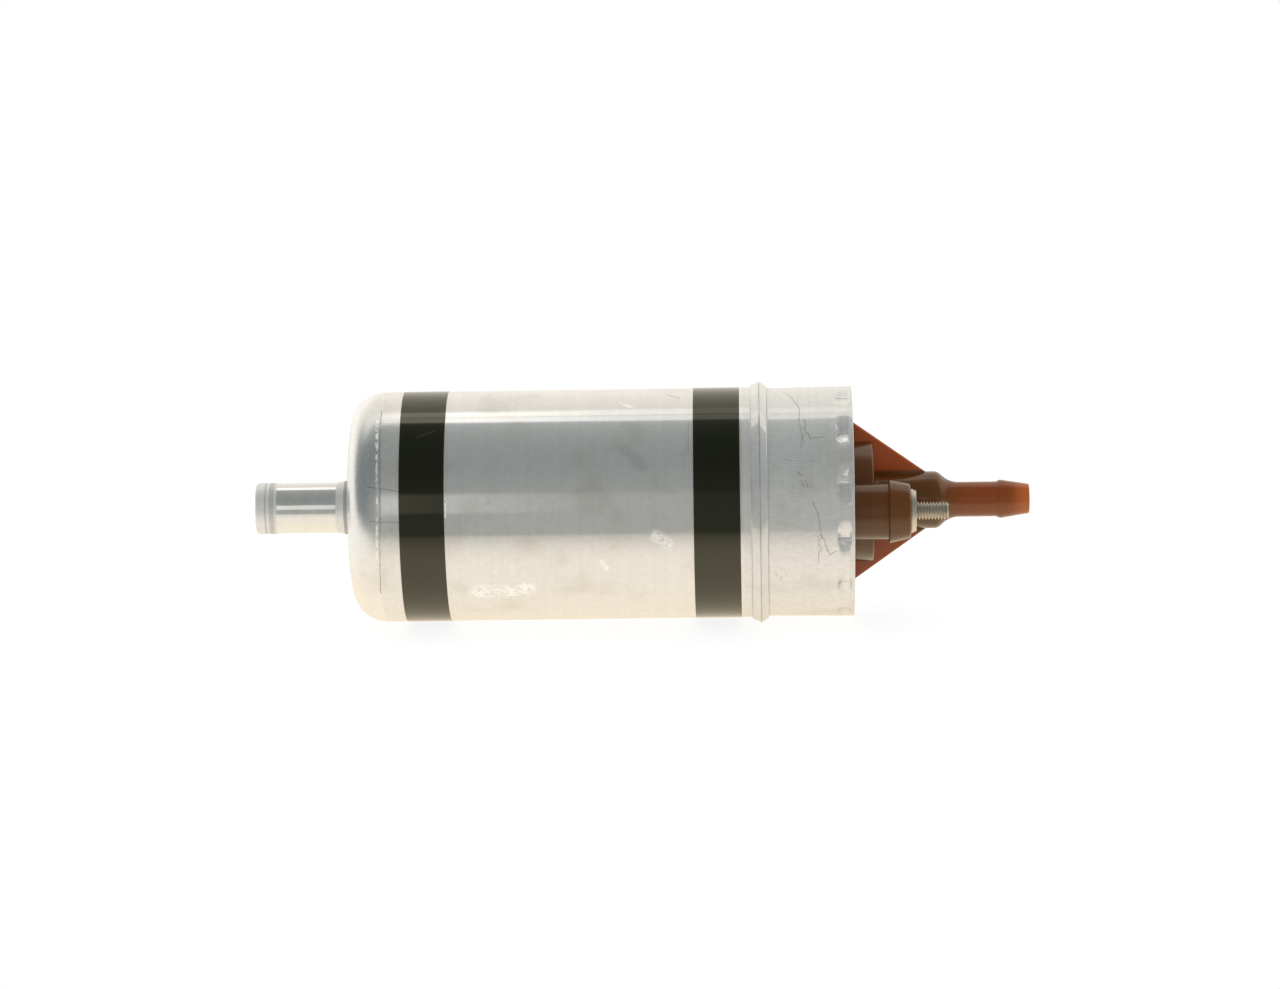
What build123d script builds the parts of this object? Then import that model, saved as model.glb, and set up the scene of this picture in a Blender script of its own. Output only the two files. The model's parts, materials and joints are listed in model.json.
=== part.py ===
from build123d import *

import math
import os

# Electric in-line fuel pump: an aluminium can with a roller-cell pump, a motor and an outlet cover.
# +X runs along the pump's axis, from the inlet to the outlet, and +Z is up. The origin is on the
# axis, in the middle of the stretch that a holding clamp grips. All sizes are in millimetres.

# Fits, as clearance on a radius or on one side
slip = 0.02
running = 0.03
side_play = 0.08
loose = 0.3

# Can, drawn from one blank with its inlet stub
can_radius = 26.0
can_wall = 1.2
clamp_length = 55.2
shoulder_length = 3.7
shoulder_radius = 8.3
bead_gap = 2.3
bead_step_length = 0.2
bead_step_height = 0.4
bead_rise_length = 1.9
bead_fall_length = 1.6
bead_height = 1.25
bead_foot_round = 0.15
bead_side_round = 0.4
bead_crest_round = 0.5
tail_length = 19.1
tail_waist = 0.25

# Inlet stub
stub_radius = 5.7
stub_bore = 4.6
stub_length = 22.0
stub_bead_height = 0.08
stub_bead_length = 4.5
stub_groove_setback = 2.3
stub_groove_width = 0.8
stub_bevel = 0.1
stub_tip_chamfer = 0.3
stub_collar_height = 0.4
stub_collar_length = 3.6
stub_flare_length = 2.0
stub_root_round = 1.3
stub_mouth_round = 0.8

# Clamp bands, a thin film on the can
front_band_width = 10.1
rear_band_width = 10.4
band_film = 0.08

# Crimps that hold the cover in the can
crimp_count = 13
crimp_angle = -9.2
crimp_length = 3.9
crimp_depth = 1.4
crimp_width = 7.8
crimp_gap = 0.1

# Outlet cover
flange_thickness = 9.8
skirt_wall = 3.0
boss_radius = 13.7
boss_rise = 4.6
boss_round = 0.5
neck_radius = 6.0
neck_root_round = 1.6
neck_length = 16.6
bulge_taper_length = 5.0
bulge_height = 0.45
bulge_length = 2.6
ogee_length = 2.8
ogee_head_round = 2.1
ogee_foot_round = 4.8
tube_radius = 3.95
tube_length = 10.4
barb_height = 0.41
barb_rise_length = 0.9
barb_length = 6.6
barb_round = 0.4
barb_tip_radius = 3.33
barb_tip_round = 0.3
outlet_bore = 2.5
web_thickness = 1.8
web_reach = 18.25

# Terminals
terminal_offset = 14.0
tower_radius = 6.25
tower_length = 7.8
collar_lip = 0.9
collar_length = 4.9
collar_drop = 1.1
near_stud_radius = 2.0
far_stud_radius = 2.5
stud_length = 7.3
stud_chamfer = 0.4
stud_root_step = 0.4
stud_head_overhang = 1.2
stud_head_length = 3.2
plate_rim = 2.9
plate_step = 0.3
plate_thickness = 1.2
lead_radius = 0.8
lead_setback = 2.0

# Cover seal
seal_groove_depth = 1.4
seal_groove_width = 2.2
seal_setback = 3.0

# Rear bearing and its holder
shaft_radius = 2.5
bush_wall = 2.0
rear_bush_length = 6.0
rear_bush_stand = 1.5
holder_radius = 8.0
holder_length = 7.0
holder_end_gap = 1.0
flow_hole_count = 6
flow_hole_radius = 0.9
flow_hole_offset = 6.3
washer_thickness = 0.6
washer_gap = 0.2

# Check valve in the outlet neck
chamber_wall = 1.2
seat_setback = 1.3
seat_length = 3.0
seat_bore = 2.6
seal_disc_radius = 3.5
seal_disc_thickness = 0.6
plunger_radius = 3.8
plunger_head = 1.0
plunger_stem_radius = 1.6
plunger_stem_length = 7.0
check_wire_radius = 0.3
check_coil_radius = 2.7
check_turns = 6

# Brushes and commutator
brush_width = 6.0
brush_depth = 5.0
brush_room = 4.3
brush_back_wall = 1.19
holder_wall = 1.1
holder_side_wall = 2.4
holder_reach = 1.2
skirt_margin = 0.5
lead_space = 3.9
brush_wire_radius = 0.25
brush_coil_radius = 1.7
brush_turns = 4
commutator_radius = 9.0
commutator_length = 10.0
riser_height = 1.5
riser_length = 2.0
segment_thickness = 3.0
segment_count = 8
segment_gap = 0.5

# Armature and magnets
armature_gap = 0.6
magnet_thickness = 5.9
magnet_span = 140.0
magnet_overhang = 6.0
clip_thickness = 0.6
clip_play_angle = 0.6
flux_ring_wall = 2.0
slot_radius = 2.9
slot_depth = 1.9
slot_mouth = 1.2
winding_play = 0.15
winding_rim = 2.2
winding_round = 1.8
end_turn_length = 7.0
front_turn_gap = 4.0
riser_turn_gap = 2.0
turn_core_wall = 1.5

# Roller-cell pump
plate_gap = 0.3
damper_gap = 0.4
damper_length = 5.7
damper_wall = 2.5
inlet_plate_thickness = 6.0
race_width = 8.0
port_plate_thickness = 6.0
race_wall = 1.02
race_offset = 0.8
roller_radius = 2.5
roller_count = 5
rotor_gap = 0.1
kidney_margin = 1.2
kidney_width = 4.0
kidney_span = 90.0
dog_radius = 6.0
dog_length = 6.9
dog_tongue_width = 3.0
dog_tongue_depth = 2.6
dog_gap = 0.1
screw_count = 3
screw_radius = 1.5
screw_head_radius = 2.6
screw_head_height = 2.4
screw_margin = 0.4
screw_socket = 1.3
screw_socket_depth = 1.4

# Pressure relief valve
relief_margin = 0.7
relief_passage = 1.2
relief_seat_depth = 4.0
relief_guide_length = 2.0
ball_radius = 2.0
relief_bore = 2.3
relief_wall = 0.9
relief_body_stand = 8.0
relief_end_wall = 1.0
relief_vent = 1.0
relief_wire_radius = 0.25
relief_coil_radius = 1.5
relief_turns = 7

# Inlet strainer
strainer_radius = 8.0
strainer_wall = 0.5
strainer_length = 8.4
strainer_flange = 3.0
strainer_flange_thickness = 0.8
strainer_windows = 10
strainer_window_width = 3.0
strainer_round = 1.5

# Stations of the can along the axis
front_band_x = -clamp_length / 2 - front_band_width
rear_band_x = clamp_length / 2
shoulder_x = front_band_x - shoulder_length
face_x = shoulder_x - shoulder_radius
stub_tip_x = face_x - stub_length
bead_x = rear_band_x + rear_band_width + bead_gap
bead_front_x = bead_x + bead_step_length
crest_x = bead_front_x + bead_rise_length
bead_rear_x = crest_x + bead_fall_length
bead_end_x = bead_rear_x + bead_step_length
rim_x = bead_end_x + tail_length
crimp_x = rim_x - crimp_length
can_bore = can_radius - can_wall
inner_face_x = face_x + can_wall
inner_shoulder_radius = shoulder_radius - can_wall

# Stations of the cover, with what it holds
cover_radius = can_radius - tail_waist - can_wall - slip * 2
cover_face_x = crimp_x - crimp_gap
floor_x = cover_face_x - flange_thickness
brush_x = floor_x - lead_space - brush_width / 2
holder_front_x = brush_x - brush_width / 2 - side_play - holder_wall
skirt_x = holder_front_x - skirt_margin
boss_end_x = rim_x + boss_rise
bulge_x = rim_x + neck_length
bulge_end_x = bulge_x + bulge_length
tube_x = bulge_end_x + ogee_length
barb_x = tube_x + tube_length
barb_crest_x = barb_x + barb_rise_length
tip_x = barb_crest_x + barb_length
collar_x = rim_x + tower_length
tower_end_x = collar_x + collar_length
chamber_radius = neck_radius - chamber_wall
rear_bush_x = floor_x - rear_bush_stand
holder_end_x = rear_bush_x + holder_length
pocket_end_x = holder_end_x + holder_end_gap
seat_x = rim_x - seat_setback
seat_end_x = seat_x + seat_length
bush_radius = shaft_radius + bush_wall

# Stations of the pump stack, which stands on the damper ring in the can's shoulder
damper_radius = can_bore - damper_gap
damper_rise = math.sqrt(inner_shoulder_radius**2 - (inner_shoulder_radius - damper_gap) ** 2)
damper_x = shoulder_x - damper_rise + slip * 2
inlet_plate_x = damper_x + damper_length
race_x = inlet_plate_x + inlet_plate_thickness
port_x = race_x + race_width
flux_x = port_x + port_plate_thickness
stack_radius = can_bore - plate_gap
damper_bore = damper_radius - damper_wall
screw_offset = damper_bore - screw_margin - screw_head_radius
relief_body_radius = relief_bore + relief_wall
relief_offset = damper_bore - relief_margin - relief_body_radius
race_bore = screw_offset - screw_radius - side_play - race_wall - race_offset
kidney_offset = race_bore - kidney_margin - kidney_width / 2
rotor_radius = race_bore - race_offset - rotor_gap
roller_orbit = race_bore - roller_radius - running
roller_pocket = roller_radius + race_offset + side_play
dog_x = port_x + dog_gap

# Stations of the motor
commutator_end_x = rear_bush_x - washer_thickness - 2 * washer_gap
commutator_x = commutator_end_x - commutator_length
riser_x = commutator_x - riser_length
turns_front_x = dog_x + dog_length + front_turn_gap
turns_rear_x = riser_x - riser_turn_gap
core_x = turns_front_x + end_turn_length
core_end_x = turns_rear_x - end_turn_length
magnet_x = core_x - magnet_overhang
magnet_end_x = core_end_x + magnet_overhang
flux_radius = cover_radius
magnet_outer = flux_radius - flux_ring_wall - running
magnet_inner = magnet_outer - magnet_thickness
core_radius = magnet_inner - armature_gap
slot_offset = core_radius - slot_depth - slot_radius
turn_radius = core_radius - winding_rim
spring_seat = cover_radius - brush_back_wall
brush_length = spring_seat - brush_room - commutator_radius - slip


def around(angle):
    """Plane that holds the axis: its Y points out from the axis, at an angle from +Y towards +Z."""
    turn = math.radians(angle)
    return Plane(origin=(0, 0, 0), x_dir=(1, 0, 0), z_dir=(0, -math.sin(turn), math.cos(turn)))


def across(x, angle):
    """Plane across the axis at x: its Y points out from the axis, at an angle from -Y towards +Z."""
    turn = math.radians(angle)
    return Plane(origin=(x, 0, 0), x_dir=(0, math.sin(turn), math.cos(turn)), z_dir=(1, 0, 0))


def outline(points, rounds=(), plane=Plane.XY):
    """Closed outline of (x, radius) points; each round is a corner point with its radius."""
    with BuildSketch(plane) as shape:
        with BuildLine():
            Polyline(*points, close=True)
        make_face()
        for corner, radius in rounds:
            place = plane.from_local_coords(Vector(*corner))
            fillet(shape.vertices().sort_by_distance(place)[0], radius)
    return shape.sketch


def ring(x_low, x_high, r_low, r_high):
    """Outline of a plain ring or, from a radius of 0, of a disc."""
    return outline([(x_low, r_low), (x_low, r_high), (x_high, r_high), (x_high, r_low)])


def coil_spring(foot, length, coil_radius, wire_radius, turns):
    """Wound spring that stands on the foot plane, with its wire just inside its length."""
    height = length - 2 * (wire_radius + slip)
    start = foot.offset(wire_radius + slip)
    with BuildPart() as spring:
        with BuildLine() as coil:
            Helix(height / turns, height, coil_radius, center=start.origin, direction=start.z_dir)
        with BuildSketch(Plane(origin=coil.line @ 0, z_dir=coil.line % 0)):
            Circle(wire_radius)
        sweep(is_frenet=True)
    return spring


def save(piece, name):
    """Label a finished piece and write it to its own file."""
    piece.part.label = name
    export_step(piece.part, f"parts/{name}.step")


os.makedirs("parts", exist_ok=True)


# Can: stub, end face, barrel, rolled bead and tail
stub_bead_radius = stub_radius + stub_bead_height
stub_bead_end_x = stub_tip_x + stub_bead_length
stub_groove_x = stub_tip_x + stub_groove_setback
stub_groove_end_x = stub_groove_x + stub_groove_width
stub_collar_x = face_x - stub_collar_length
stub_collar_radius = stub_radius + stub_collar_height
tail_radius = can_radius - tail_waist
bead_side_radius = can_radius + bead_step_height
can_points = [
    (stub_tip_x, stub_bore),
    (stub_tip_x, stub_bead_radius - stub_tip_chamfer),
    (stub_tip_x + stub_tip_chamfer, stub_bead_radius),
    (stub_groove_x, stub_bead_radius),
    (stub_groove_x + stub_bevel, stub_radius),
    (stub_groove_end_x - stub_bevel, stub_radius),
    (stub_groove_end_x, stub_bead_radius),
    (stub_bead_end_x, stub_bead_radius),
    (stub_bead_end_x + stub_bevel, stub_radius),
    (stub_collar_x, stub_radius),
    (stub_collar_x + stub_flare_length, stub_collar_radius),
    (face_x, stub_collar_radius),
    (face_x, can_radius),
    (bead_x, can_radius),
    (bead_front_x, bead_side_radius),
    (crest_x, can_radius + bead_height),
    (bead_rear_x, bead_side_radius),
    (bead_end_x, tail_radius),
    (rim_x, can_radius),
    (rim_x, can_bore),
    (bead_end_x, tail_radius - can_wall),
    (crest_x, can_bore + bead_height),
    (bead_x, can_bore),
    (inner_face_x, can_bore),
    (inner_face_x, stub_bore),
]
can_rounds = [
    ((face_x, stub_collar_radius), stub_root_round),
    ((face_x, can_radius), shoulder_radius),
    ((bead_x, can_radius), bead_foot_round),
    ((bead_front_x, bead_side_radius), bead_side_round),
    ((crest_x, can_radius + bead_height), bead_crest_round),
    ((bead_rear_x, bead_side_radius), bead_side_round),
    ((bead_end_x, tail_radius), bead_foot_round),
    ((inner_face_x, can_bore), inner_shoulder_radius),
    ((inner_face_x, stub_bore), stub_mouth_round),
]

# A crimp is a V-shaped dent, deepest at its front wall, whose crease rises to the rim
crimp_slope = crimp_depth / (crimp_width / 2)
crimp_flank = 2 * crimp_depth
crimp_top = crimp_flank / crimp_slope
crimp_crease = Vector(crimp_length, 0, 0)


def crimp_wedge(angle, floor_radius):
    """Wedge of one crimp, with its crease starting at a radius and rising by the crimp's depth."""
    plane = across(crimp_x, angle)
    with BuildSketch(plane) as section:
        with BuildLine():
            Polyline(
                (0, floor_radius),
                (crimp_top, floor_radius + crimp_flank),
                (-crimp_top, floor_radius + crimp_flank),
                close=True,
            )
        make_face()
    crease = crimp_crease + plane.y_dir * crimp_depth
    with BuildPart() as wedge:
        extrude(section.sketch, amount=crease.length, dir=crease.normalized())
    return wedge.part


crimp_angles = [crimp_angle + 360 / crimp_count * k for k in range(crimp_count)]
with BuildPart() as crimp_bumps:
    for angle in crimp_angles:
        add(crimp_wedge(angle, can_bore - crimp_depth))
    revolve(ring(crimp_x, rim_x, 0, can_bore + can_wall / 2), axis=Axis.X, mode=Mode.INTERSECT)

with BuildPart() as can:
    revolve(outline(can_points, can_rounds), axis=Axis.X)
    add(crimp_bumps.part)
    for angle in crimp_angles:
        add(crimp_wedge(angle, can_radius - crimp_depth), mode=Mode.SUBTRACT)
save(can, "can")

# Bands
with BuildPart() as front_band:
    revolve(
        ring(front_band_x, front_band_x + front_band_width, can_radius, can_radius + band_film),
        axis=Axis.X,
    )
save(front_band, "front_band")

with BuildPart() as rear_band:
    revolve(
        ring(rear_band_x, rear_band_x + rear_band_width, can_radius, can_radius + band_film),
        axis=Axis.X,
    )
save(rear_band, "rear_band")

# Outlet cover: skirt, flange, boss, neck with its bulge, tube and barb, webs and terminal towers
bulge_radius = neck_radius + bulge_height
barb_radius = tube_radius + barb_height
skirt_inner = cover_radius - skirt_wall
cover_points = [
    (floor_x, 0),
    (floor_x, skirt_inner),
    (skirt_x, skirt_inner),
    (skirt_x, cover_radius),
    (cover_face_x, cover_radius),
    (cover_face_x, boss_radius),
    (boss_end_x, boss_radius),
    (boss_end_x, neck_radius),
    (bulge_x - bulge_taper_length, neck_radius),
    (bulge_x, bulge_radius),
    (bulge_end_x, bulge_radius),
    (tube_x, tube_radius),
    (barb_x, tube_radius),
    (barb_crest_x, barb_radius),
    (tip_x, barb_tip_radius),
    (tip_x, 0),
]
cover_rounds = [
    ((boss_end_x, boss_radius), boss_round),
    ((boss_end_x, neck_radius), neck_root_round),
    ((bulge_end_x, bulge_radius), ogee_head_round),
    ((tube_x, tube_radius), ogee_foot_round),
    ((barb_crest_x, barb_radius), barb_round),
    ((tip_x, barb_tip_radius), barb_tip_round),
]
web_slope = (web_reach - bulge_radius) / (bulge_x - rim_x)
web_foot = web_reach + (rim_x - cover_face_x) * web_slope
web_points = [
    (cover_face_x, 0),
    (cover_face_x, web_foot),
    (bulge_x, bulge_radius),
    (bulge_x, 0),
]
collar_radius = tower_radius + collar_lip
collar_taper = math.degrees(math.atan(collar_drop / collar_length))
chamber_end_x = bulge_x
seal_x = floor_x + seal_setback
seal_groove_bottom = cover_radius - seal_groove_depth
block_width = brush_depth + 2 * (side_play + holder_side_wall)
terminals = [
    ("near", -terminal_offset, near_stud_radius),
    ("far", terminal_offset, far_stud_radius),
]

with BuildPart() as end_cover:
    revolve(outline(cover_points, cover_rounds), axis=Axis.X)
    with BuildSketch(Plane.XZ):
        with BuildLine():
            Polyline(*web_points, close=True)
        make_face()
        mirror(about=Plane.XZ)
    extrude(amount=web_thickness / 2, both=True)
    with BuildSketch(Plane.YZ.offset(cover_face_x)):
        with Locations((-terminal_offset, 0), (terminal_offset, 0)):
            Circle(tower_radius)
    extrude(amount=collar_x - cover_face_x)
    with BuildSketch(Plane.YZ.offset(collar_x)):
        with Locations((-terminal_offset, 0), (terminal_offset, 0)):
            Circle(collar_radius)
    extrude(amount=collar_length, taper=collar_taper)
    with BuildSketch(Plane.XY.offset(commutator_radius + holder_reach)):
        with Locations(((holder_front_x + floor_x) / 2, 0)):
            Rectangle(floor_x - holder_front_x, block_width)
    holder_top = extrude(amount=skirt_inner - commutator_radius - holder_reach + slip)
    mirror(holder_top, about=Plane.XY)
    revolve(ring(floor_x - rear_bush_stand, pocket_end_x, 0, holder_radius), axis=Axis.X,
            mode=Mode.SUBTRACT)
    revolve(ring(floor_x, chamber_end_x, 0, chamber_radius), axis=Axis.X, mode=Mode.SUBTRACT)
    revolve(ring(floor_x, tip_x, 0, outlet_bore), axis=Axis.X, mode=Mode.SUBTRACT)
    revolve(
        ring(seal_x, seal_x + seal_groove_width, seal_groove_bottom, cover_radius),
        axis=Axis.X,
        mode=Mode.SUBTRACT,
    )
    for name, side, stud_radius in terminals:
        with BuildSketch(Plane.YZ.offset(floor_x)):
            with Locations((side, 0)):
                Circle(stud_radius + stud_root_step)
        extrude(amount=tower_end_x - floor_x, mode=Mode.SUBTRACT)
    with BuildSketch(Plane.XY):
        with Locations((brush_x, 0)):
            Rectangle(brush_width + 2 * side_play, brush_depth + 2 * side_play)
    extrude(amount=spring_seat, both=True, mode=Mode.SUBTRACT)
save(end_cover, "end_cover")

# Cover seal, squeezed between its groove and the can's tail
seal_middle_x = seal_x + seal_groove_width / 2
tail_growth = tail_waist / tail_length
can_bore_at_seal = tail_radius - can_wall + (seal_middle_x - bead_end_x) * tail_growth
seal_radius = (can_bore_at_seal - seal_groove_bottom) / 2 - slip
with BuildPart() as cover_seal:
    with BuildSketch(Plane.XY):
        with Locations((seal_middle_x, (can_bore_at_seal + seal_groove_bottom) / 2)):
            Circle(seal_radius)
    revolve(axis=Axis.X)
save(cover_seal, "cover_seal")

# Rear bearing: a bush in a holder with flow holes, pressed into the cover
with BuildPart() as bearing_holder:
    revolve(ring(rear_bush_x, holder_end_x, bush_radius, holder_radius), axis=Axis.X)
    with BuildSketch(Plane.YZ.offset(rear_bush_x)):
        with PolarLocations(flow_hole_offset, flow_hole_count):
            Circle(flow_hole_radius)
    extrude(amount=holder_length, mode=Mode.SUBTRACT)
save(bearing_holder, "bearing_holder")

with BuildPart() as rear_bush:
    revolve(
        ring(rear_bush_x, rear_bush_x + rear_bush_length, shaft_radius + running, bush_radius),
        axis=Axis.X,
    )
save(rear_bush, "rear_bush")

# Terminal studs with their contact plates and brush leads
plate_end_x = tower_end_x + plate_thickness
lead_x = floor_x - lead_setback
for name, side, stud_radius in terminals:
    root_radius = stud_radius + stud_root_step
    with BuildPart() as stud:
        with BuildSketch(Plane.YZ.offset(plate_end_x)):
            with Locations((side, 0)):
                Circle(stud_radius)
        extrude(amount=stud_length)
        chamfer(stud.edges().sort_by(Axis.X)[-1], stud_chamfer)
        with BuildSketch(Plane.YZ.offset(floor_x)):
            with Locations((side, 0)):
                Circle(root_radius)
        extrude(amount=plate_end_x - floor_x)
        with BuildSketch(Plane.YZ.offset(floor_x - stud_head_length)):
            with Locations((side, 0)):
                Circle(stud_radius + stud_head_overhang)
        extrude(amount=stud_head_length)
    save(stud, f"{name}_stud")

    with BuildPart() as contact_plate:
        with BuildSketch(Plane.YZ.offset(tower_end_x)):
            with Locations((side, 0)):
                Circle(stud_radius + plate_rim)
                Circle(root_radius, mode=Mode.SUBTRACT)
        extrude(amount=plate_thickness / 2)
        with BuildSketch(Plane.YZ.offset(tower_end_x + plate_thickness / 2)):
            with Locations((side, 0)):
                Circle(stud_radius + plate_rim - plate_step)
                Circle(root_radius, mode=Mode.SUBTRACT)
        extrude(amount=plate_thickness / 2)
    save(contact_plate, f"{name}_contact_plate")

# Each lead runs round the cover's floor from a brush holder to the head of a stud
leads = [
    ("upper", 90, near_stud_radius),
    ("lower", 270, far_stud_radius),
]
lead_start = math.degrees(math.asin((block_width / 2 + slip) / (terminal_offset - lead_radius)))
for name, middle, stud_radius in leads:
    head_radius = stud_radius + stud_head_overhang
    lead_end = 90 - math.degrees(2 * math.asin((head_radius + slip) / 2 / terminal_offset))
    with BuildPart() as lead:
        with BuildSketch(around(middle + lead_start)):
            with Locations((lead_x, terminal_offset)):
                Circle(lead_radius)
        revolve(axis=Axis.X, revolution_arc=lead_end - lead_start)
    save(lead, f"{name}_brush_lead")

# Brushes, each pressed on the commutator by a spring
for name, side in [("upper", 1), ("lower", -1)]:
    with BuildPart() as brush:
        with BuildSketch(Plane.XY):
            with Locations((brush_x, 0)):
                Rectangle(brush_width, brush_depth)
        extrude(amount=side * (commutator_radius + slip + brush_length))
        revolve(
            ring(riser_x, rear_bush_x, 0, commutator_radius + slip),
            axis=Axis.X,
            mode=Mode.SUBTRACT,
        )
    save(brush, f"{name}_brush")
    spring_foot = Plane(
        origin=(brush_x, 0, side * (spring_seat - brush_room)),
        x_dir=(1, 0, 0),
        z_dir=(0, 0, side),
    )
    brush_spring = coil_spring(
        spring_foot, brush_room, brush_coil_radius, brush_wire_radius, brush_turns
    )
    save(brush_spring, f"{name}_brush_spring")

# Check valve in the neck: seat, sealing disc, plunger and spring
with BuildPart() as check_valve_seat:
    revolve(ring(seat_x, seat_end_x, seat_bore, chamber_radius), axis=Axis.X)
save(check_valve_seat, "check_valve_seat")

disc_x = seat_end_x + slip
plunger_x = disc_x + seal_disc_thickness
with BuildPart() as check_valve_disc:
    revolve(ring(disc_x, plunger_x, 0, seal_disc_radius), axis=Axis.X)
save(check_valve_disc, "check_valve_disc")

plunger_head_end_x = plunger_x + plunger_head
with BuildPart() as check_valve_plunger:
    revolve(ring(plunger_x, plunger_head_end_x, 0, plunger_radius), axis=Axis.X)
    revolve(
        ring(plunger_x, plunger_head_end_x + plunger_stem_length, 0, plunger_stem_radius),
        axis=Axis.X,
    )
    chamfer(check_valve_plunger.edges().sort_by(Axis.X)[-1], plunger_stem_radius / 2)
save(check_valve_plunger, "check_valve_plunger")

check_spring = coil_spring(
    Plane.YZ.offset(plunger_head_end_x),
    chamber_end_x - plunger_head_end_x,
    check_coil_radius,
    check_wire_radius,
    check_turns,
)
save(check_spring, "check_valve_spring")

# Motor shell: flux ring, two magnet arcs and the clips between them
with BuildPart() as flux_ring:
    revolve(ring(flux_x, skirt_x, flux_radius - flux_ring_wall, flux_radius), axis=Axis.X)
save(flux_ring, "flux_ring")

magnet_points = [
    (magnet_x, magnet_inner),
    (magnet_x, magnet_outer),
    (magnet_end_x, magnet_outer),
    (magnet_end_x, magnet_inner),
]
for name, middle in [("upper", 90), ("lower", 270)]:
    with BuildPart() as magnet:
        magnet_start = outline(magnet_points, plane=around(middle - magnet_span / 2))
        revolve(magnet_start, axis=Axis.X, revolution_arc=magnet_span)
    save(magnet, f"{name}_magnet")

clip_points = [
    (magnet_x, magnet_outer - clip_thickness),
    (magnet_x, magnet_outer),
    (magnet_end_x, magnet_outer),
    (magnet_end_x, magnet_outer - clip_thickness),
]
clip_span = 180 - magnet_span - 2 * clip_play_angle
with BuildPart() as magnet_clips:
    for middle in (0, 180):
        clip_start = outline(clip_points, plane=around(middle - clip_span / 2))
        revolve(clip_start, axis=Axis.X, revolution_arc=clip_span)
save(magnet_clips, "magnet_clips")

# Armature: shaft, slotted core, winding, commutator on its hub, thrust washer
shaft_x = inlet_plate_x + loose
shaft_end_x = rear_bush_x + rear_bush_length - loose
with BuildPart() as shaft:
    revolve(ring(shaft_x, shaft_end_x, 0, shaft_radius), axis=Axis.X)
    chamfer(shaft.edges().filter_by(GeomType.CIRCLE), loose)
save(shaft, "shaft")

with BuildPart() as armature_core:
    with BuildSketch(Plane.YZ.offset(core_x)):
        Circle(core_radius)
        Circle(shaft_radius, mode=Mode.SUBTRACT)
        with PolarLocations(slot_offset, segment_count):
            Circle(slot_radius, mode=Mode.SUBTRACT)
        with PolarLocations(slot_offset + core_radius / 2, segment_count):
            Rectangle(core_radius, slot_mouth, mode=Mode.SUBTRACT)
    extrude(amount=core_end_x - core_x)
save(armature_core, "armature_core")

turn_core_radius = shaft_radius + turn_core_wall
front_turns = [
    (turns_front_x, turn_core_radius),
    (turns_front_x, turn_radius),
    (core_x, turn_radius),
    (core_x, turn_core_radius),
]
rear_turns = [
    (core_end_x, turn_core_radius),
    (core_end_x, turn_radius),
    (turns_rear_x, turn_radius),
    (turns_rear_x, turn_core_radius),
]
with BuildPart() as winding:
    revolve(outline(front_turns, [(front_turns[1], winding_round)]), axis=Axis.X)
    revolve(outline(rear_turns, [(rear_turns[2], winding_round)]), axis=Axis.X)
    with BuildSketch(Plane.YZ.offset(core_x)):
        with PolarLocations(slot_offset, segment_count):
            Circle(slot_radius - winding_play)
    extrude(amount=core_end_x - core_x)
save(winding, "winding")

segment_inner = commutator_radius - segment_thickness
commutator_points = [
    (riser_x, segment_inner),
    (riser_x, commutator_radius + riser_height),
    (commutator_x, commutator_radius + riser_height),
    (commutator_x, commutator_radius),
    (commutator_end_x, commutator_radius),
    (commutator_end_x, segment_inner),
]
with BuildPart() as commutator:
    revolve(outline(commutator_points), axis=Axis.X)
    with BuildSketch(Plane.YZ.offset(riser_x)):
        with PolarLocations(commutator_radius, segment_count, start_angle=180 / segment_count):
            Rectangle(2 * commutator_radius, segment_gap)
    extrude(amount=commutator_end_x - riser_x, mode=Mode.SUBTRACT)
save(commutator, "commutator")

with BuildPart() as commutator_hub:
    revolve(ring(riser_x, commutator_end_x, shaft_radius, segment_inner), axis=Axis.X)
save(commutator_hub, "commutator_hub")

washer_x = commutator_end_x + washer_gap
with BuildPart() as thrust_washer:
    revolve(
        ring(washer_x, washer_x + washer_thickness, shaft_radius + slip, bush_radius - slip),
        axis=Axis.X,
    )
save(thrust_washer, "thrust_washer")

# Drive dog: a collar on the shaft whose tongue turns the rotor
with BuildPart() as drive_dog:
    revolve(ring(dog_x, dog_x + dog_length, 0, dog_radius), axis=Axis.X)
    with BuildSketch(Plane.YZ.offset(dog_x)):
        Circle(dog_radius)
        Rectangle(2 * dog_radius, dog_tongue_width, mode=Mode.INTERSECT)
    extrude(amount=-dog_tongue_depth)
    revolve(
        ring(dog_x - dog_tongue_depth, dog_x + dog_length, 0, shaft_radius),
        axis=Axis.X,
        mode=Mode.SUBTRACT,
    )
save(drive_dog, "drive_dog")

# Rotor: its pockets let each roller follow the offset race
rotor_x = race_x + running
rotor_end_x = port_x - running
tongue_slot_depth = rotor_end_x - dog_x + dog_tongue_depth + dog_gap
with BuildPart() as pump_rotor:
    with BuildSketch(Plane.YZ.offset(rotor_x)):
        Circle(rotor_radius)
        Circle(shaft_radius + slip, mode=Mode.SUBTRACT)
        with PolarLocations(roller_orbit, roller_count):
            Circle(roller_pocket, mode=Mode.SUBTRACT)
        with PolarLocations(roller_orbit + rotor_radius / 2, roller_count):
            Rectangle(rotor_radius, 2 * roller_pocket, mode=Mode.SUBTRACT)
    extrude(amount=rotor_end_x - rotor_x)
    with BuildSketch(Plane.YZ.offset(rotor_end_x)):
        Rectangle(2 * (dog_radius + dog_gap), dog_tongue_width + 2 * dog_gap)
    extrude(amount=-tongue_slot_depth, mode=Mode.SUBTRACT)
save(pump_rotor, "pump_rotor")

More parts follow.
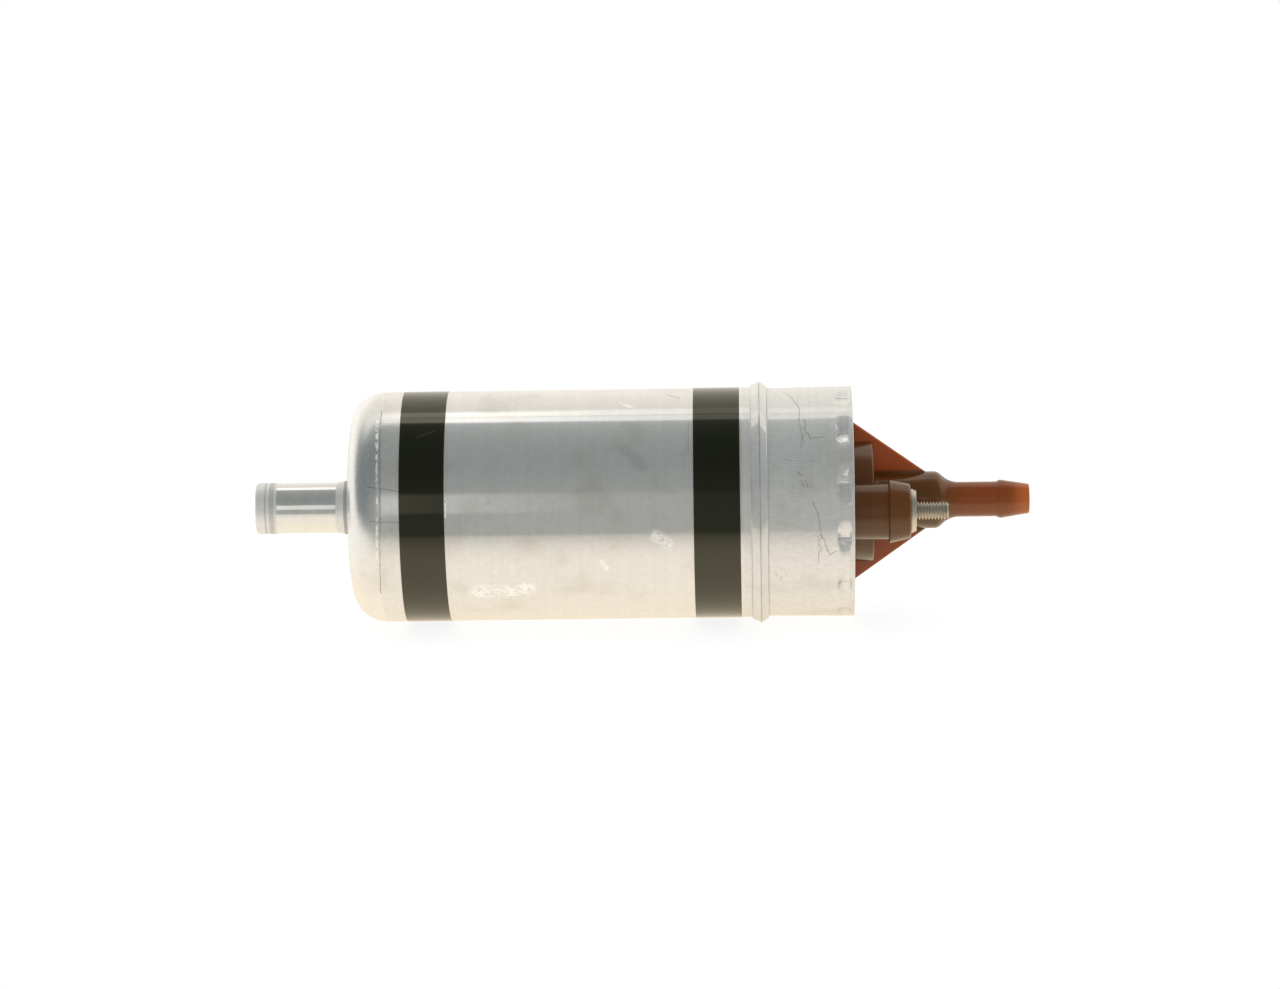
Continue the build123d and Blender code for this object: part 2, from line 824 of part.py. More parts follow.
with BuildPart() as pump_rollers:
    with BuildSketch(Plane.YZ.offset(rotor_x)):
        with Locations((0, race_offset)):
            with PolarLocations(roller_orbit, roller_count):
                Circle(roller_radius)
    extrude(amount=rotor_end_x - rotor_x)
save(pump_rollers, "pump_rollers")

# Pump stack: race ring between two plates, held by screws, with the relief passage through it
screw_angle = 90
kidney_start = -kidney_span / 2
relief_place = (0, -relief_offset)

with BuildPart() as race_ring:
    with BuildSketch(Plane.YZ.offset(race_x)):
        Circle(stack_radius)
        with Locations((0, race_offset)):
            Circle(race_bore, mode=Mode.SUBTRACT)
        with PolarLocations(screw_offset, screw_count, start_angle=screw_angle):
            Circle(screw_radius + side_play, mode=Mode.SUBTRACT)
        with Locations(relief_place):
            Circle(relief_passage, mode=Mode.SUBTRACT)
    extrude(amount=race_width)
save(race_ring, "race_ring")

with BuildPart() as port_plate:
    with BuildSketch(Plane.YZ.offset(port_x)):
        Circle(stack_radius)
        Circle(dog_radius + loose, mode=Mode.SUBTRACT)
        with PolarLocations(screw_offset, screw_count, start_angle=screw_angle):
            Circle(screw_radius, mode=Mode.SUBTRACT)
        with Locations(relief_place):
            Circle(relief_passage, mode=Mode.SUBTRACT)
        SlotArc(
            CenterArc((0, 0), kidney_offset, 180 + kidney_start, kidney_span),
            kidney_width,
            mode=Mode.SUBTRACT,
        )
    extrude(amount=port_plate_thickness)
save(port_plate, "port_plate")

relief_seat_x = race_x - (inlet_plate_thickness - relief_seat_depth)
relief_thread_x = relief_seat_x - relief_guide_length
with BuildPart() as inlet_plate:
    with BuildSketch(Plane.YZ.offset(inlet_plate_x)):
        Circle(stack_radius)
        Circle(bush_radius, mode=Mode.SUBTRACT)
        with PolarLocations(screw_offset, screw_count, start_angle=screw_angle):
            Circle(screw_radius + side_play, mode=Mode.SUBTRACT)
        with Locations(relief_place):
            Circle(relief_passage, mode=Mode.SUBTRACT)
        SlotArc(
            CenterArc((0, 0), kidney_offset, kidney_start, kidney_span),
            kidney_width,
            mode=Mode.SUBTRACT,
        )
    extrude(amount=inlet_plate_thickness)
    with BuildSketch(Plane.YZ.offset(inlet_plate_x)):
        with Locations(relief_place):
            Circle(relief_bore)
    extrude(amount=relief_seat_x - inlet_plate_x, mode=Mode.SUBTRACT)
    with BuildSketch(Plane.YZ.offset(inlet_plate_x)):
        with Locations(relief_place):
            Circle(relief_body_radius)
    extrude(amount=relief_thread_x - inlet_plate_x, mode=Mode.SUBTRACT)
save(inlet_plate, "inlet_plate")

with BuildPart() as front_bush:
    revolve(ring(inlet_plate_x, race_x, shaft_radius + running, bush_radius), axis=Axis.X)
save(front_bush, "front_bush")

with BuildPart() as pump_screws:
    with BuildSketch(Plane.YZ.offset(inlet_plate_x)):
        with PolarLocations(screw_offset, screw_count, start_angle=screw_angle):
            Circle(screw_radius)
    extrude(amount=flux_x - inlet_plate_x)
    with BuildSketch(Plane.YZ.offset(inlet_plate_x)):
        with PolarLocations(screw_offset, screw_count, start_angle=screw_angle):
            Circle(screw_head_radius)
    extrude(amount=-screw_head_height)
    with BuildSketch(Plane.YZ.offset(inlet_plate_x - screw_head_height)):
        with PolarLocations(screw_offset, screw_count, start_angle=screw_angle):
            RegularPolygon(screw_socket, 6)
    extrude(amount=screw_socket_depth, mode=Mode.SUBTRACT)
save(pump_screws, "pump_screws")

with BuildPart() as damper_ring:
    revolve(
        ring(damper_x, inlet_plate_x, damper_bore, damper_radius), axis=Axis.X
    )
save(damper_ring, "damper_ring")

# Relief valve: a ball on its seat in the inlet plate, held by a spring in a screwed body
ball_seat_distance = math.sqrt(ball_radius**2 - relief_passage**2)
ball_x = relief_seat_x - ball_seat_distance - slip
with BuildPart() as relief_ball:
    with Locations((ball_x, 0, -relief_offset)):
        Sphere(ball_radius)
save(relief_ball, "relief_ball")

relief_body_x = inlet_plate_x - relief_body_stand
with BuildPart() as relief_valve_body:
    with BuildSketch(Plane.YZ.offset(relief_body_x)):
        with Locations(relief_place):
            Circle(relief_body_radius)
    extrude(amount=relief_thread_x - relief_body_x)
    with BuildSketch(Plane.YZ.offset(relief_body_x + relief_end_wall)):
        with Locations(relief_place):
            Circle(relief_bore)
    extrude(amount=relief_thread_x - relief_body_x - relief_end_wall, mode=Mode.SUBTRACT)
    with BuildSketch(Plane.YZ.offset(relief_body_x)):
        with Locations(relief_place):
            Circle(relief_vent)
    extrude(amount=relief_end_wall, mode=Mode.SUBTRACT)
save(relief_valve_body, "relief_valve_body")

ball_spring_reach = relief_coil_radius - relief_wire_radius
ball_back_x = ball_x - math.sqrt(ball_radius**2 - ball_spring_reach**2)
relief_foot = Plane(
    origin=(relief_body_x + relief_end_wall, 0, -relief_offset), x_dir=(0, 1, 0), z_dir=(1, 0, 0)
)
relief_spring = coil_spring(
    relief_foot,
    ball_back_x - relief_body_x - relief_end_wall,
    relief_coil_radius,
    relief_wire_radius,
    relief_turns,
)
save(relief_spring, "relief_spring")

# Inlet strainer: a cup with mesh windows over the stub's inner mouth
strainer_x = inner_face_x + slip
strainer_end_x = strainer_x + strainer_length
window_front_x = strainer_x + strainer_flange_thickness + strainer_wall
window_end_x = strainer_end_x - strainer_round - strainer_wall
strainer_points = [
    (strainer_x, strainer_radius - strainer_wall),
    (strainer_x, strainer_radius + strainer_flange),
    (strainer_x + strainer_flange_thickness, strainer_radius + strainer_flange),
    (strainer_x + strainer_flange_thickness, strainer_radius),
    (strainer_end_x, strainer_radius),
    (strainer_end_x, 0),
    (strainer_end_x - strainer_wall, 0),
    (strainer_end_x - strainer_wall, strainer_radius - strainer_wall),
]
strainer_rounds = [
    (strainer_points[4], strainer_round),
    (strainer_points[7], strainer_round - strainer_wall),
]
with BuildPart() as inlet_strainer:
    revolve(outline(strainer_points, strainer_rounds), axis=Axis.X)
    with BuildSketch(Plane.YZ.offset(window_front_x)):
        with PolarLocations(strainer_radius, strainer_windows):
            Rectangle(2 * strainer_flange, strainer_window_width)
    extrude(amount=window_end_x - window_front_x, mode=Mode.SUBTRACT)
save(inlet_strainer, "inlet_strainer")
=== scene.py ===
"""Dress an electric in-line fuel pump with fine meshes and procedural finishes, in a white studio.

Lengths are in metres. X runs along the pump's axis from the inlet to the outlet, and Z is up.
Angles round the axis start at the side that faces the camera and rise towards the top.
"""

import json
import math
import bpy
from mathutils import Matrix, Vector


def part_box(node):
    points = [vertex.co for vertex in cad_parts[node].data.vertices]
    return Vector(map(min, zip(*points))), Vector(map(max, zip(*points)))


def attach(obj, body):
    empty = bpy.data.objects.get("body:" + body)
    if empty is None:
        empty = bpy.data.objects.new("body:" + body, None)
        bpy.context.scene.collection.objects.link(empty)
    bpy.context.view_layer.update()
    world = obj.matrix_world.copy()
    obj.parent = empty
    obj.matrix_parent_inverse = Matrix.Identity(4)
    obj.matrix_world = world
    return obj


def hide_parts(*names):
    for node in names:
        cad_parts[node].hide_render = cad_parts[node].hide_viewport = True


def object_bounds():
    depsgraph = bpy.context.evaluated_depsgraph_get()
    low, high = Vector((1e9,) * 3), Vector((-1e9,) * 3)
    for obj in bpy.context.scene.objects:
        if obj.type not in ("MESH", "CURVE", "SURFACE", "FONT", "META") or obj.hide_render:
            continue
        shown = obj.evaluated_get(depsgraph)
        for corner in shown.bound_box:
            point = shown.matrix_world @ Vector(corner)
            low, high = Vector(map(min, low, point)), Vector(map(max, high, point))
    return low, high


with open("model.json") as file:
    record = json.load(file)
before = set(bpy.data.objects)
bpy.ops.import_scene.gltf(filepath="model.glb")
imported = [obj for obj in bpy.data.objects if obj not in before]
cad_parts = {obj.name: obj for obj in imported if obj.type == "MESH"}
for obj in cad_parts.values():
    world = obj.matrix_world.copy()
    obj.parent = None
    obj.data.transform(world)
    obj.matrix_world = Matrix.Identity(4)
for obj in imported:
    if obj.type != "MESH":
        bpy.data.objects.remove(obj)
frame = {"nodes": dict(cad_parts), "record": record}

from types import SimpleNamespace

import bmesh
import bpy
from bpy.props import BoolProperty, FloatProperty, FloatVectorProperty, IntProperty, PointerProperty
from mathutils import Matrix, Vector

bl_info = {
    "name": "Fuel Pump",
    "version": (1, 0, 0),
    "blender": (4, 5, 0),
    "location": "View3D > Sidebar > Fuel Pump",
    "description": "Builds the shells, terminals, finishes and studio of an in-line fuel pump",
    "category": "Add Mesh",
}

cad_bounds = [list(corner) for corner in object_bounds()]

MM = 0.001
FULL_TURN = 2 * math.pi
AXIS = Vector((1, 0, 0))
ORIGIN = (0.0, 0.0, 0.0)
HOUSING = "housing"
WELD = 0.0005 * MM
SHARP_ANGLE = math.radians(30.0)

# Places and sizes that the frame gives
can_low, can_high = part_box("can")
front_band_low, front_band_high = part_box("front_band")
rear_band_low, rear_band_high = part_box("rear_band")
cover_low, cover_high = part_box("end_cover")
STUB_TIP_X = can_low.x
RIM_X = can_high.x
BAND_RADIUS = front_band_high.z
TIP_X = cover_high.x
FLOOR_Z = min(corner[2] for corner in cad_bounds)


def length(name, description, millimetres):
    """A length that a user can change, with its default in millimetres."""
    return FloatProperty(
        name=name, description=description, default=millimetres * MM, min=0.0,
        subtype="DISTANCE", unit="LENGTH", precision=5,
    )


def angle(name, description, degrees):
    """An angle that a user can change, with its default in degrees."""
    return FloatProperty(
        name=name, description=description, default=math.radians(degrees), subtype="ANGLE", unit="ROTATION"
    )


def share(name, description, default):
    """A number from 0 to 1 that a user can change."""
    return FloatProperty(name=name, description=description, default=default, min=0.0, max=1.0)


def linear(red, green, blue):
    """Linear colour of a display colour in 0 to 255."""
    parts = [value / 255 for value in (red, green, blue)]
    return tuple(part / 12.92 if part <= 0.04045 else ((part + 0.055) / 1.055) ** 2.4 for part in parts)


def colour(name, description, red, green, blue):
    """A colour that a user can change, with its default as a display colour in 0 to 255."""
    return FloatVectorProperty(
        name=name, description=description, default=linear(red, green, blue), size=3, min=0.0, max=1.0,
        subtype="COLOR",
    )


class CanSizes(bpy.types.PropertyGroup):
    """Sizes of the drawn can with its inlet stub, its bead and its crimps."""

    segments: IntProperty(name="Segments", description="Faces round the can", default=468, min=52)
    film: length("Film", "Thickness of the bands on the can", 0.08)
    wall: length("Wall", "Thickness of the can's sheet", 1.2)
    shoulder: length("Shoulder", "Radius between the end face and the barrel", 8.3)
    shoulder_line: length("Shoulder line", "Height of the fine ridge where the shoulder starts", 0.05)
    stub_radius: length("Stub radius", "Radius of the inlet stub's shank", 5.7)
    stub_bore: length("Stub bore", "Radius of the inlet stub's bore", 4.6)
    stub_length: length("Stub length", "Length of the inlet stub from the end face", 22.0)
    stub_bead: length("Stub bead", "Height of the stub's end ring over its shank", 0.08)
    stub_collar: length("Stub collar", "Height of the collar at the stub's root", 0.4)
    stub_flare: length("Stub flare", "Length over which that collar rises", 2.0)
    bead_gap: length("Bead gap", "Distance from the rear band to the bead's foot", 2.3)
    bead_step: length("Bead step", "Length of the steep step at both sides of the bead", 0.2)
    bead_step_height: length("Bead step height", "Height of that step", 0.4)
    bead_rise: length("Bead rise", "Length of the bead's front flank", 1.9)
    bead_fall: length("Bead fall", "Length of the bead's rear flank", 1.6)
    bead_height: length("Bead height", "Height of the bead over the barrel", 1.25)
    waist: length("Waist", "How far the tail draws in behind the bead", 0.25)
    crimp_count: IntProperty(name="Crimps", description="Number of crimps at the rim", default=13, min=3)
    crimp_angle: angle("Crimp angle", "Place of the first crimp round the can", -9.2)
    crimp_length: length("Crimp length", "Length of a crimp from its sheared wall to the rim", 3.9)
    crimp_depth: length("Crimp depth", "Depth of a crimp at its sheared wall", 1.4)
    crimp_width: length("Crimp width", "Width of a crimp with its soft borders", 9.6)
    crimp_wall: length("Crimp wall", "Length of the steep wall at a crimp's start", 0.3)
    crimp_rise: share("Crimp rise", "How much of its depth a crimp loses towards the rim", 0.35)
    lip_length: length("Lip length", "Distance from the rim where a crimp ends", 1.2)
    lip_rise: length("Lip rise", "Length of the slope from a crimp back to the lip", 0.7)
    crease_depth: length("Crease depth", "Height of the fine fold along a crimp's middle", 0.12)
    crease_width: length("Crease width", "Width of that fold", 1.2)
    shallow_angle: angle("Shallow angle", "Place round the can where the crimps are shallow", 101.6)
    shallow_reach: angle("Shallow reach", "How far round the can they stay shallow", 30.0)
    shallow_share: share("Shallow share", "How much of its depth a crimp lacks there", 0.85)


class CoverSizes(bpy.types.PropertyGroup):
    """Sizes of the outlet cover with its webs and terminal towers."""

    segments: IntProperty(name="Segments", description="Faces round the cover", default=192, min=24)
    fit: length("Fit", "Clearance of the cover in the can", 0.04)
    flange: length("Flange", "Thickness of the cover's flange", 9.8)
    skirt_wall: length("Skirt wall", "Thickness of the cover's skirt", 3.0)
    boss_radius: length("Boss radius", "Radius of the boss round the neck", 13.7)
    boss_rise: length("Boss rise", "How far the boss stands out of the can's rim", 4.6)
    neck_radius: length("Neck radius", "Radius of the neck", 6.0)
    neck_length: length("Neck length", "Length of the neck from the can's rim", 16.6)
    bulge_height: length("Bulge height", "How far the neck's end swells", 0.45)
    bulge_length: length("Bulge length", "Length of the swelling", 2.6)
    ogee: length("Ogee", "Length of the fall from the swelling to the tube", 2.8)
    ogee_head: length("Ogee head", "Radius of that fall's first bend", 2.1)
    ogee_foot: length("Ogee foot", "Radius of that fall's second bend", 4.8)
    tube_radius: length("Tube radius", "Radius of the outlet tube", 3.95)
    tube_length: length("Tube length", "Length of the outlet tube up to its barb", 10.4)
    barb_rise: length("Barb rise", "Length over which the barb rises", 0.9)
    barb_height: length("Barb height", "Height of the barb over the tube", 0.41)
    barb_tip: length("Barb tip", "Radius of the barb at its tip", 3.33)
    bore: length("Bore", "Radius of the outlet's bore", 2.5)
    chamber: length("Chamber", "Radius of the check valve's chamber", 4.8)
    holder: length("Holder", "Radius of the bearing's seat", 8.0)
    web_thickness: length("Web thickness", "Thickness of the two webs", 1.8)
    web_reach: length("Web reach", "Distance of the webs' edge from the axis at the can's rim", 18.25)
    web_edge: length("Web edge", "Radius of the webs' outer edges", 0.7)
    tower_radius: length("Tower radius", "Radius of a terminal tower", 6.25)
    tower_length: length("Tower length", "Length of a terminal tower from the can's rim", 7.8)
    collar_lip: length("Collar lip", "How far a tower's collar stands out", 0.9)
    collar_length: length("Collar length", "Length of a tower's collar", 4.9)
    collar_drop: length("Collar drop", "How far a collar narrows towards its end", 1.1)
    edge_round: length("Edge round", "Radius of the moulded edges", 0.25)


class TerminalSizes(bpy.types.PropertyGroup):
    """Sizes of the threaded studs and their contact plates."""

    segments: IntProperty(name="Segments", description="Faces round a thread", default=48, min=12)
    near_pitch: length("Near pitch", "Pitch of the near stud's thread", 0.7)
    far_pitch: length("Far pitch", "Pitch of the far stud's thread", 0.8)
    near_radius: length("Near radius", "Radius of the near stud's thread", 2.0)
    far_radius: length("Far radius", "Radius of the far stud's thread", 2.5)
    root_step: length("Root step", "How much thicker a stud is below its thread", 0.4)
    head_length: length("Head length", "Length of a stud's head inside the cover", 3.2)
    tip_chamfer: length("Tip chamfer", "Chamfer at a stud's tip", 0.4)
    plate_step: length("Plate step", "Step halfway through a contact plate", 0.3)


class FinishLooks(bpy.types.PropertyGroup):
    """Colours and roughness of the finishes that show most."""

    aluminium: colour("Aluminium", "Colour of the can", 252, 252, 250)
    aluminium_roughness: share("Aluminium roughness", "Roughness of the can", 0.08)
    aluminium_metal: share("Aluminium metal", "How metallic the can's haze is", 0.55)
    dome_haze: share("Dome haze", "How much of the shine is haze where the can is drawn round", 0.22)
    barrel_haze: share("Barrel haze", "How much of the shine is haze on the barrel", 0.44)
    tail_haze: share("Tail haze", "How much of the shine is haze behind the bead", 0.64)
    film: colour("Film", "Colour of the bands", 9, 12, 2)
    # Colour of the painted edge highlights, also used for the bands' dust and scuffs
    film_edge: colour("Film edge", "Colour of the bands' cut edges", 112, 84, 60)
    plastic: colour("Plastic", "Colour of the outlet cover", 73, 49, 12)
    thin_plastic: colour("Thin plastic", "Colour of the cover where light comes through it", 164, 67, 0)
    # Painted glow of light coming through the cover at the outlet's tip
    tip_painted_glow: colour("Tip plastic", "Colour of the cover at the outlet's tip", 214, 112, 48)
    nickel: colour("Nickel", "Colour of the studs and contact plates", 240, 232, 217)


class StageSettings(bpy.types.PropertyGroup):
    """Camera, floor and light of the studio."""

    elevation: angle("Elevation", "How far the camera looks down", 10.0)
    turn: angle("Turn", "How far the outlet end is turned towards the camera", 1.36)
    roll: angle("Roll", "How far the outlet end is raised in the picture", 0.77)
    distance: length("Distance", "From the camera to the point that it looks at", 1071.0)
    focal_length: FloatProperty(name="Focal length", description="Lens of the camera", default=132.9, min=1)
    target_x: length("Target", "Point on the axis in the middle of the picture", 15.2)
    target_rise: length("Target rise", "How far the picture's middle is over the axis", 2.05)
    floor_front: length("Floor front", "How far the floor reaches in front of the axis", 92.0)
    floor_back: length("Floor back", "How far the floor reaches behind the axis", 900.0)
    floor_side: length("Floor side", "How far the floor reaches to each side", 700.0)
    floor_shade: share("Floor shade", "How strongly the floor shows the pump's shadow", 0.2)
    fill: share("Fill", "How much plain white light fills the studio's dark side", 0.82)


class PumpSettings(bpy.types.PropertyGroup):
    """Everything about the pump that a user can change."""

    can: PointerProperty(type=CanSizes)
    cover: PointerProperty(type=CoverSizes)
    terminals: PointerProperty(type=TerminalSizes)
    looks: PointerProperty(type=FinishLooks)
    stage: PointerProperty(type=StageSettings)


# Shader maths


class Wire:
    """A node's output. Arithmetic on it adds Math nodes to its graph."""

    def __init__(self, graph, socket):
        self.graph = graph
        self.socket = socket

    def __add__(self, other):
        return self.graph.math("ADD", self, other)

    def __radd__(self, other):
        return self.graph.math("ADD", other, self)

    def __sub__(self, other):
        return self.graph.math("SUBTRACT", self, other)

    def __rsub__(self, other):
        return self.graph.math("SUBTRACT", other, self)

    def __mul__(self, other):
        return self.graph.math("MULTIPLY", self, other)

    def __rmul__(self, other):
        return self.graph.math("MULTIPLY", other, self)

    def __truediv__(self, other):
        return self.graph.math("DIVIDE", self, other)

    def __neg__(self):
        return self.graph.math("MULTIPLY", self, -1.0)

    def __abs__(self):
        return self.graph.math("ABSOLUTE", self)


class Graph:
    """A node tree that is built by calls, starting empty."""

    def __init__(self, tree):
        self.tree = tree
        tree.nodes.clear()

    def node(self, kind, settings=None, output=0, **sockets):
        """Add a node, set it up, then give its sockets values or links. Returns one of its outputs."""
        made = self.tree.nodes.new(kind)
        for name, value in (settings or {}).items():
            if name == "stops":
                self.set_stops(made.color_ramp, value)
            else:
                setattr(made, name, value)
        for name, value in sockets.items():
            place = int(name[1:]) if name.startswith("_") else name.replace("_", " ")
            self.feed(made.inputs[place], value)
        return Wire(self, made.outputs[output]) if len(made.outputs) else made

    def feed(self, socket, value):
        """Link a wire to a socket, or set the socket's own value."""
        if isinstance(value, Wire):
            self.tree.links.new(value.socket, socket)
        elif socket.type == "RGBA" and len(value) == 3:
            socket.default_value = (*value, 1.0)
        else:
            socket.default_value = value

    def set_stops(self, ramp, stops):
        """Give a ramp its stops, as (place, colour) pairs."""
        for place, _ in stops[1:-1]:
            ramp.elements.new(place)
        for element, (place, value) in zip(ramp.elements, stops):
            element.position = place
            element.color = (*value, 1.0)

    def math(self, operation, *values):
        """A Math node on its values."""
        sockets = {f"_{place}": value for place, value in enumerate(values)}
        return self.node("ShaderNodeMath", {"operation": operation}, **sockets)

    def least(self, first, second):
        """The lesser of two values."""
        return self.math("MINIMUM", first, second)

    def most(self, first, second):
        """The greater of two values."""
        return self.math("MAXIMUM", first, second)

    def step(self, value, low, high):
        """Smooth rise from 0 to 1 while a value goes from low to high, which needs no clamp."""
        return self.node(
            "ShaderNodeMapRange", {"interpolation_type": "SMOOTHSTEP", "clamp": False},
            Value=value, From_Min=low, From_Max=high,
        )

    def near(self, value, middle, reach, soft):
        """1 within a reach of the middle, falling softly to 0."""
        return 1.0 - self.step(abs(value - middle), reach, reach + soft)

    def mix(self, factor, first, second):
        """Colour between two colours."""
        return self.node("ShaderNodeMix", {"data_type": "RGBA"}, output=2, _0=factor, _6=first, _7=second)

    def layers(self, base, *layers):
        """A colour with others over it, each as how much it covers and its colour."""
        for cover, tint in layers:
            base = self.mix(cover, base, tint)
        return base

    def blend(self, factor, first, second):
        """Shader between two shaders."""
        return self.node("ShaderNodeMixShader", _0=factor, _1=first, _2=second)

    def vector(self, operation, first, second, output=0):
        """A Vector Math node on two vectors."""
        return self.node(
            "ShaderNodeVectorMath", {"operation": operation}, output=output, _0=first, _1=second
        )

    def split(self, vector):
        """The three parts of a vector."""
        first = self.node("ShaderNodeSeparateXYZ", _0=vector)
        return [Wire(self, socket) for socket in first.socket.node.outputs]

    def ray(self, kind):
        """1 for rays of a kind, such as Camera."""
        return self.node("ShaderNodeLightPath", output=f"Is {kind} Ray")


class Finish(Graph):
    """A material for the pump, with its place on the surface at hand."""

    def __init__(self, name):
        self.material = bpy.data.materials.new(f"{name}_finish")
        self.material.use_nodes = True
        super().__init__(self.material.node_tree)
        self.point = self.node("ShaderNodeTexCoord", output="Object")
        self.x, self.y, self.z = self.split(self.point)

    def noise(self, scale, detail=2.0, roughness=0.5):
        """Noise from 0 to 1, at a scale per metre or at a pair of them along and across the axis."""
        place = self.point
        if isinstance(scale, tuple):
            along, across = scale
            place = self.vector("MULTIPLY", place, (along, across, across))
            scale = 1.0
        return self.node(
            "ShaderNodeTexNoise", Vector=place, Scale=scale, Detail=detail, Roughness=roughness
        )

    def radius(self, side=0.0):
        """Distance from the pump's axis, or from a line beside it on both sides."""
        aside = abs(self.y) - side
        return self.math("SQRT", aside * aside + self.z * self.z)

    def unrolled(self, waver, scale):
        """Place on the can's unrolled barrel, wavering a little."""
        turn = self.math("ARCTAN2", self.z, -self.y)
        place = self.node("ShaderNodeCombineXYZ", X=self.x, Y=turn * BAND_RADIUS, Z=0.0)
        noise = self.node("ShaderNodeTexNoise", output="Color", Vector=self.point, Scale=scale, Detail=1.0)
        centred = self.vector("SUBTRACT", noise, (0.5, 0.5, 0.5))
        return self.vector("ADD", place, self.vector("MULTIPLY", centred, (waver, waver, 0.0)))

    def marks(self, place, table):
        """How strongly the marks of a table cover a place: lines of (mm along X, degrees round) points."""
        core = 0.2
        whole = 0.0
        for strength, half_width, points in table:
            spots = [Vector((x * MM, math.radians(turn) * BAND_RADIUS, 0.0)) for x, turn in points]
            distance = 1.0
            for first, second in zip(spots, spots[1:]):
                span = second - first
                offset = self.vector("SUBTRACT", place, first)
                along = self.vector("DOT_PRODUCT", offset, span, output="Value") / span.dot(span)
                along = self.least(self.most(along, 0.0), 1.0)
                spread = self.node("ShaderNodeCombineXYZ", X=along, Y=along, Z=0.0)
                nearest = self.vector("MULTIPLY", (*span,), spread)
                distance = self.least(distance, self.vector("DISTANCE", offset, nearest, output="Value"))
            reach = half_width * MM
            whole = self.most(whole, (1.0 - self.step(distance, reach * core, reach)) * strength)
        return whole

    def bump(self, height, distance, strength=1.0, below=None):
        """A bumped normal from a height of 0 to 1."""
        sockets = {"Height": height, "Distance": distance, "Strength": strength}
        if below is not None:
            sockets["Normal"] = below
        return self.node("ShaderNodeBump", **sockets)

    def principled(self, **sockets):
        """A Principled shader."""
        return self.node("ShaderNodeBsdfPrincipled", **sockets)

    def show(self, shader):
        """Give the material its shader."""
        self.node("ShaderNodeOutputMaterial", Surface=shader)


# Meshes


def round_corners(bm, corners, closed):
    """Draw a line of corners in a mesh, each an (x, radius) or, where it is rounded, (x, radius, round).

    Long straight runs get a point near each end, so that the smooth shading stays flat between them.
    """
    support = 0.12 * MM
    long_run = 2.0 * MM
    fewest, per_root_mm = 3, 4
    places = [Vector((x, 0.0, radius)) for x, radius, *_ in corners]
    rounds = [corner[2] if len(corner) > 2 else 0.0 for corner in corners]
    verts = [bm.verts.new(place) for place in places]
    offsets = []
    for index, round_radius in enumerate(rounds):
        before = places[index - 1] - places[index]
        after = places[(index + 1) % len(places)] - places[index]
        offsets.append(round_radius / math.tan(before.angle(after) / 2) if round_radius else 0.0)
    runs = len(places) if closed else len(places) - 1
    for first in range(runs):
        second = (first + 1) % len(places)
        run = places[second] - places[first]
        near, far = offsets[first] + support, run.length - offsets[second] - support
        stops = [near, far] if far - near > long_run else []
        between = [bm.verts.new(places[first] + run.normalized() * stop) for stop in stops]
        chain = [verts[first], *between, verts[second]]
        for start, end in zip(chain, chain[1:]):
            bm.edges.new((start, end))
    for vert, offset, round_radius in zip(verts, offsets, rounds):
        if round_radius:
            segments = fewest + round(math.sqrt(round_radius / MM) * per_root_mm)
            bmesh.ops.bevel(
                bm, geom=[vert], offset=offset, offset_type="OFFSET", segments=segments, profile=0.5,
                affect="VERTICES", material=-1,
            )


def vertices(items):
    """The vertices among what an operator made."""
    return [item for item in items if isinstance(item, bmesh.types.BMVert)]


def turn_verts(bm, verts, turn, middle=ORIGIN):
    """Turn vertices about a line along the axis."""
    bmesh.ops.rotate(bm, verts=verts, cent=middle, matrix=Matrix.Rotation(turn, 3, AXIS))


def sweep(bm, middle, turn, steps, rise=ORIGIN):
    """Spin a whole mesh about a line along the axis, climbing by a rise at each step."""
    bmesh.ops.spin(
        bm, geom=bm.verts[:] + bm.edges[:], cent=middle, axis=AXIS, dvec=rise, angle=turn, steps=steps,
        use_merge=False, use_normal_flip=False, use_duplicate=False,
    )


def push_faces(bm, push):
    """Extrude all faces of a mesh by a vector, which closes it."""
    pushed = bmesh.ops.extrude_face_region(bm, geom=bm.faces[:])
    bmesh.ops.translate(bm, verts=vertices(pushed["geom"]), vec=push)
    bmesh.ops.recalc_face_normals(bm, faces=bm.faces[:])


def revolve(corners, segments, side=0.0, closed=True, wedges=12):
    """Mesh of a line of corners turned about an axis along X at a side.

    One wedge is spun and the others are turned copies of it, which is far quicker than one long spin.
    """
    bm = bmesh.new()
    round_corners(bm, corners, closed)
    bmesh.ops.translate(bm, verts=bm.verts[:], vec=(0.0, side, 0.0))
    middle = (0.0, side, 0.0)
    wedge_angle = FULL_TURN / wedges
    sweep(bm, middle, wedge_angle, segments // wedges)
    wedge = bm.verts[:] + bm.edges[:] + bm.faces[:]
    for place in range(1, wedges):
        copied = bmesh.ops.duplicate(bm, geom=wedge)["geom"]
        turn_verts(bm, vertices(copied), wedge_angle * place, middle)
    bmesh.ops.remove_doubles(bm, verts=bm.verts[:], dist=WELD)
    bmesh.ops.dissolve_degenerate(bm, edges=bm.edges[:], dist=WELD)
    bmesh.ops.recalc_face_normals(bm, faces=bm.faces[:])
    return bm


def join(parts):
    """Join several meshes into the first one."""
    whole = parts[0]
    for part in parts[1:]:
        mesh = bpy.data.meshes.new("part")
        part.to_mesh(mesh)
        part.free()
        whole.from_mesh(mesh)
        bpy.data.meshes.remove(mesh)
    return whole


def finish_of(slot):
    """The finish for a material slot, which an earlier operator made."""
    return bpy.data.materials[f"{slot}_finish"]


def add_object(name, data):
    """Put an object with its data into the scene."""
    added = bpy.data.objects.new(name, data)
    bpy.context.scene.collection.objects.link(added)
    return added


def add_mesh(bm, name, material):
    """Put a finished mesh into the scene."""
    mesh = bpy.data.meshes.new(name)
    bm.to_mesh(mesh)
    bm.free()
    mesh.materials.append(material)
    return add_object(name, mesh)


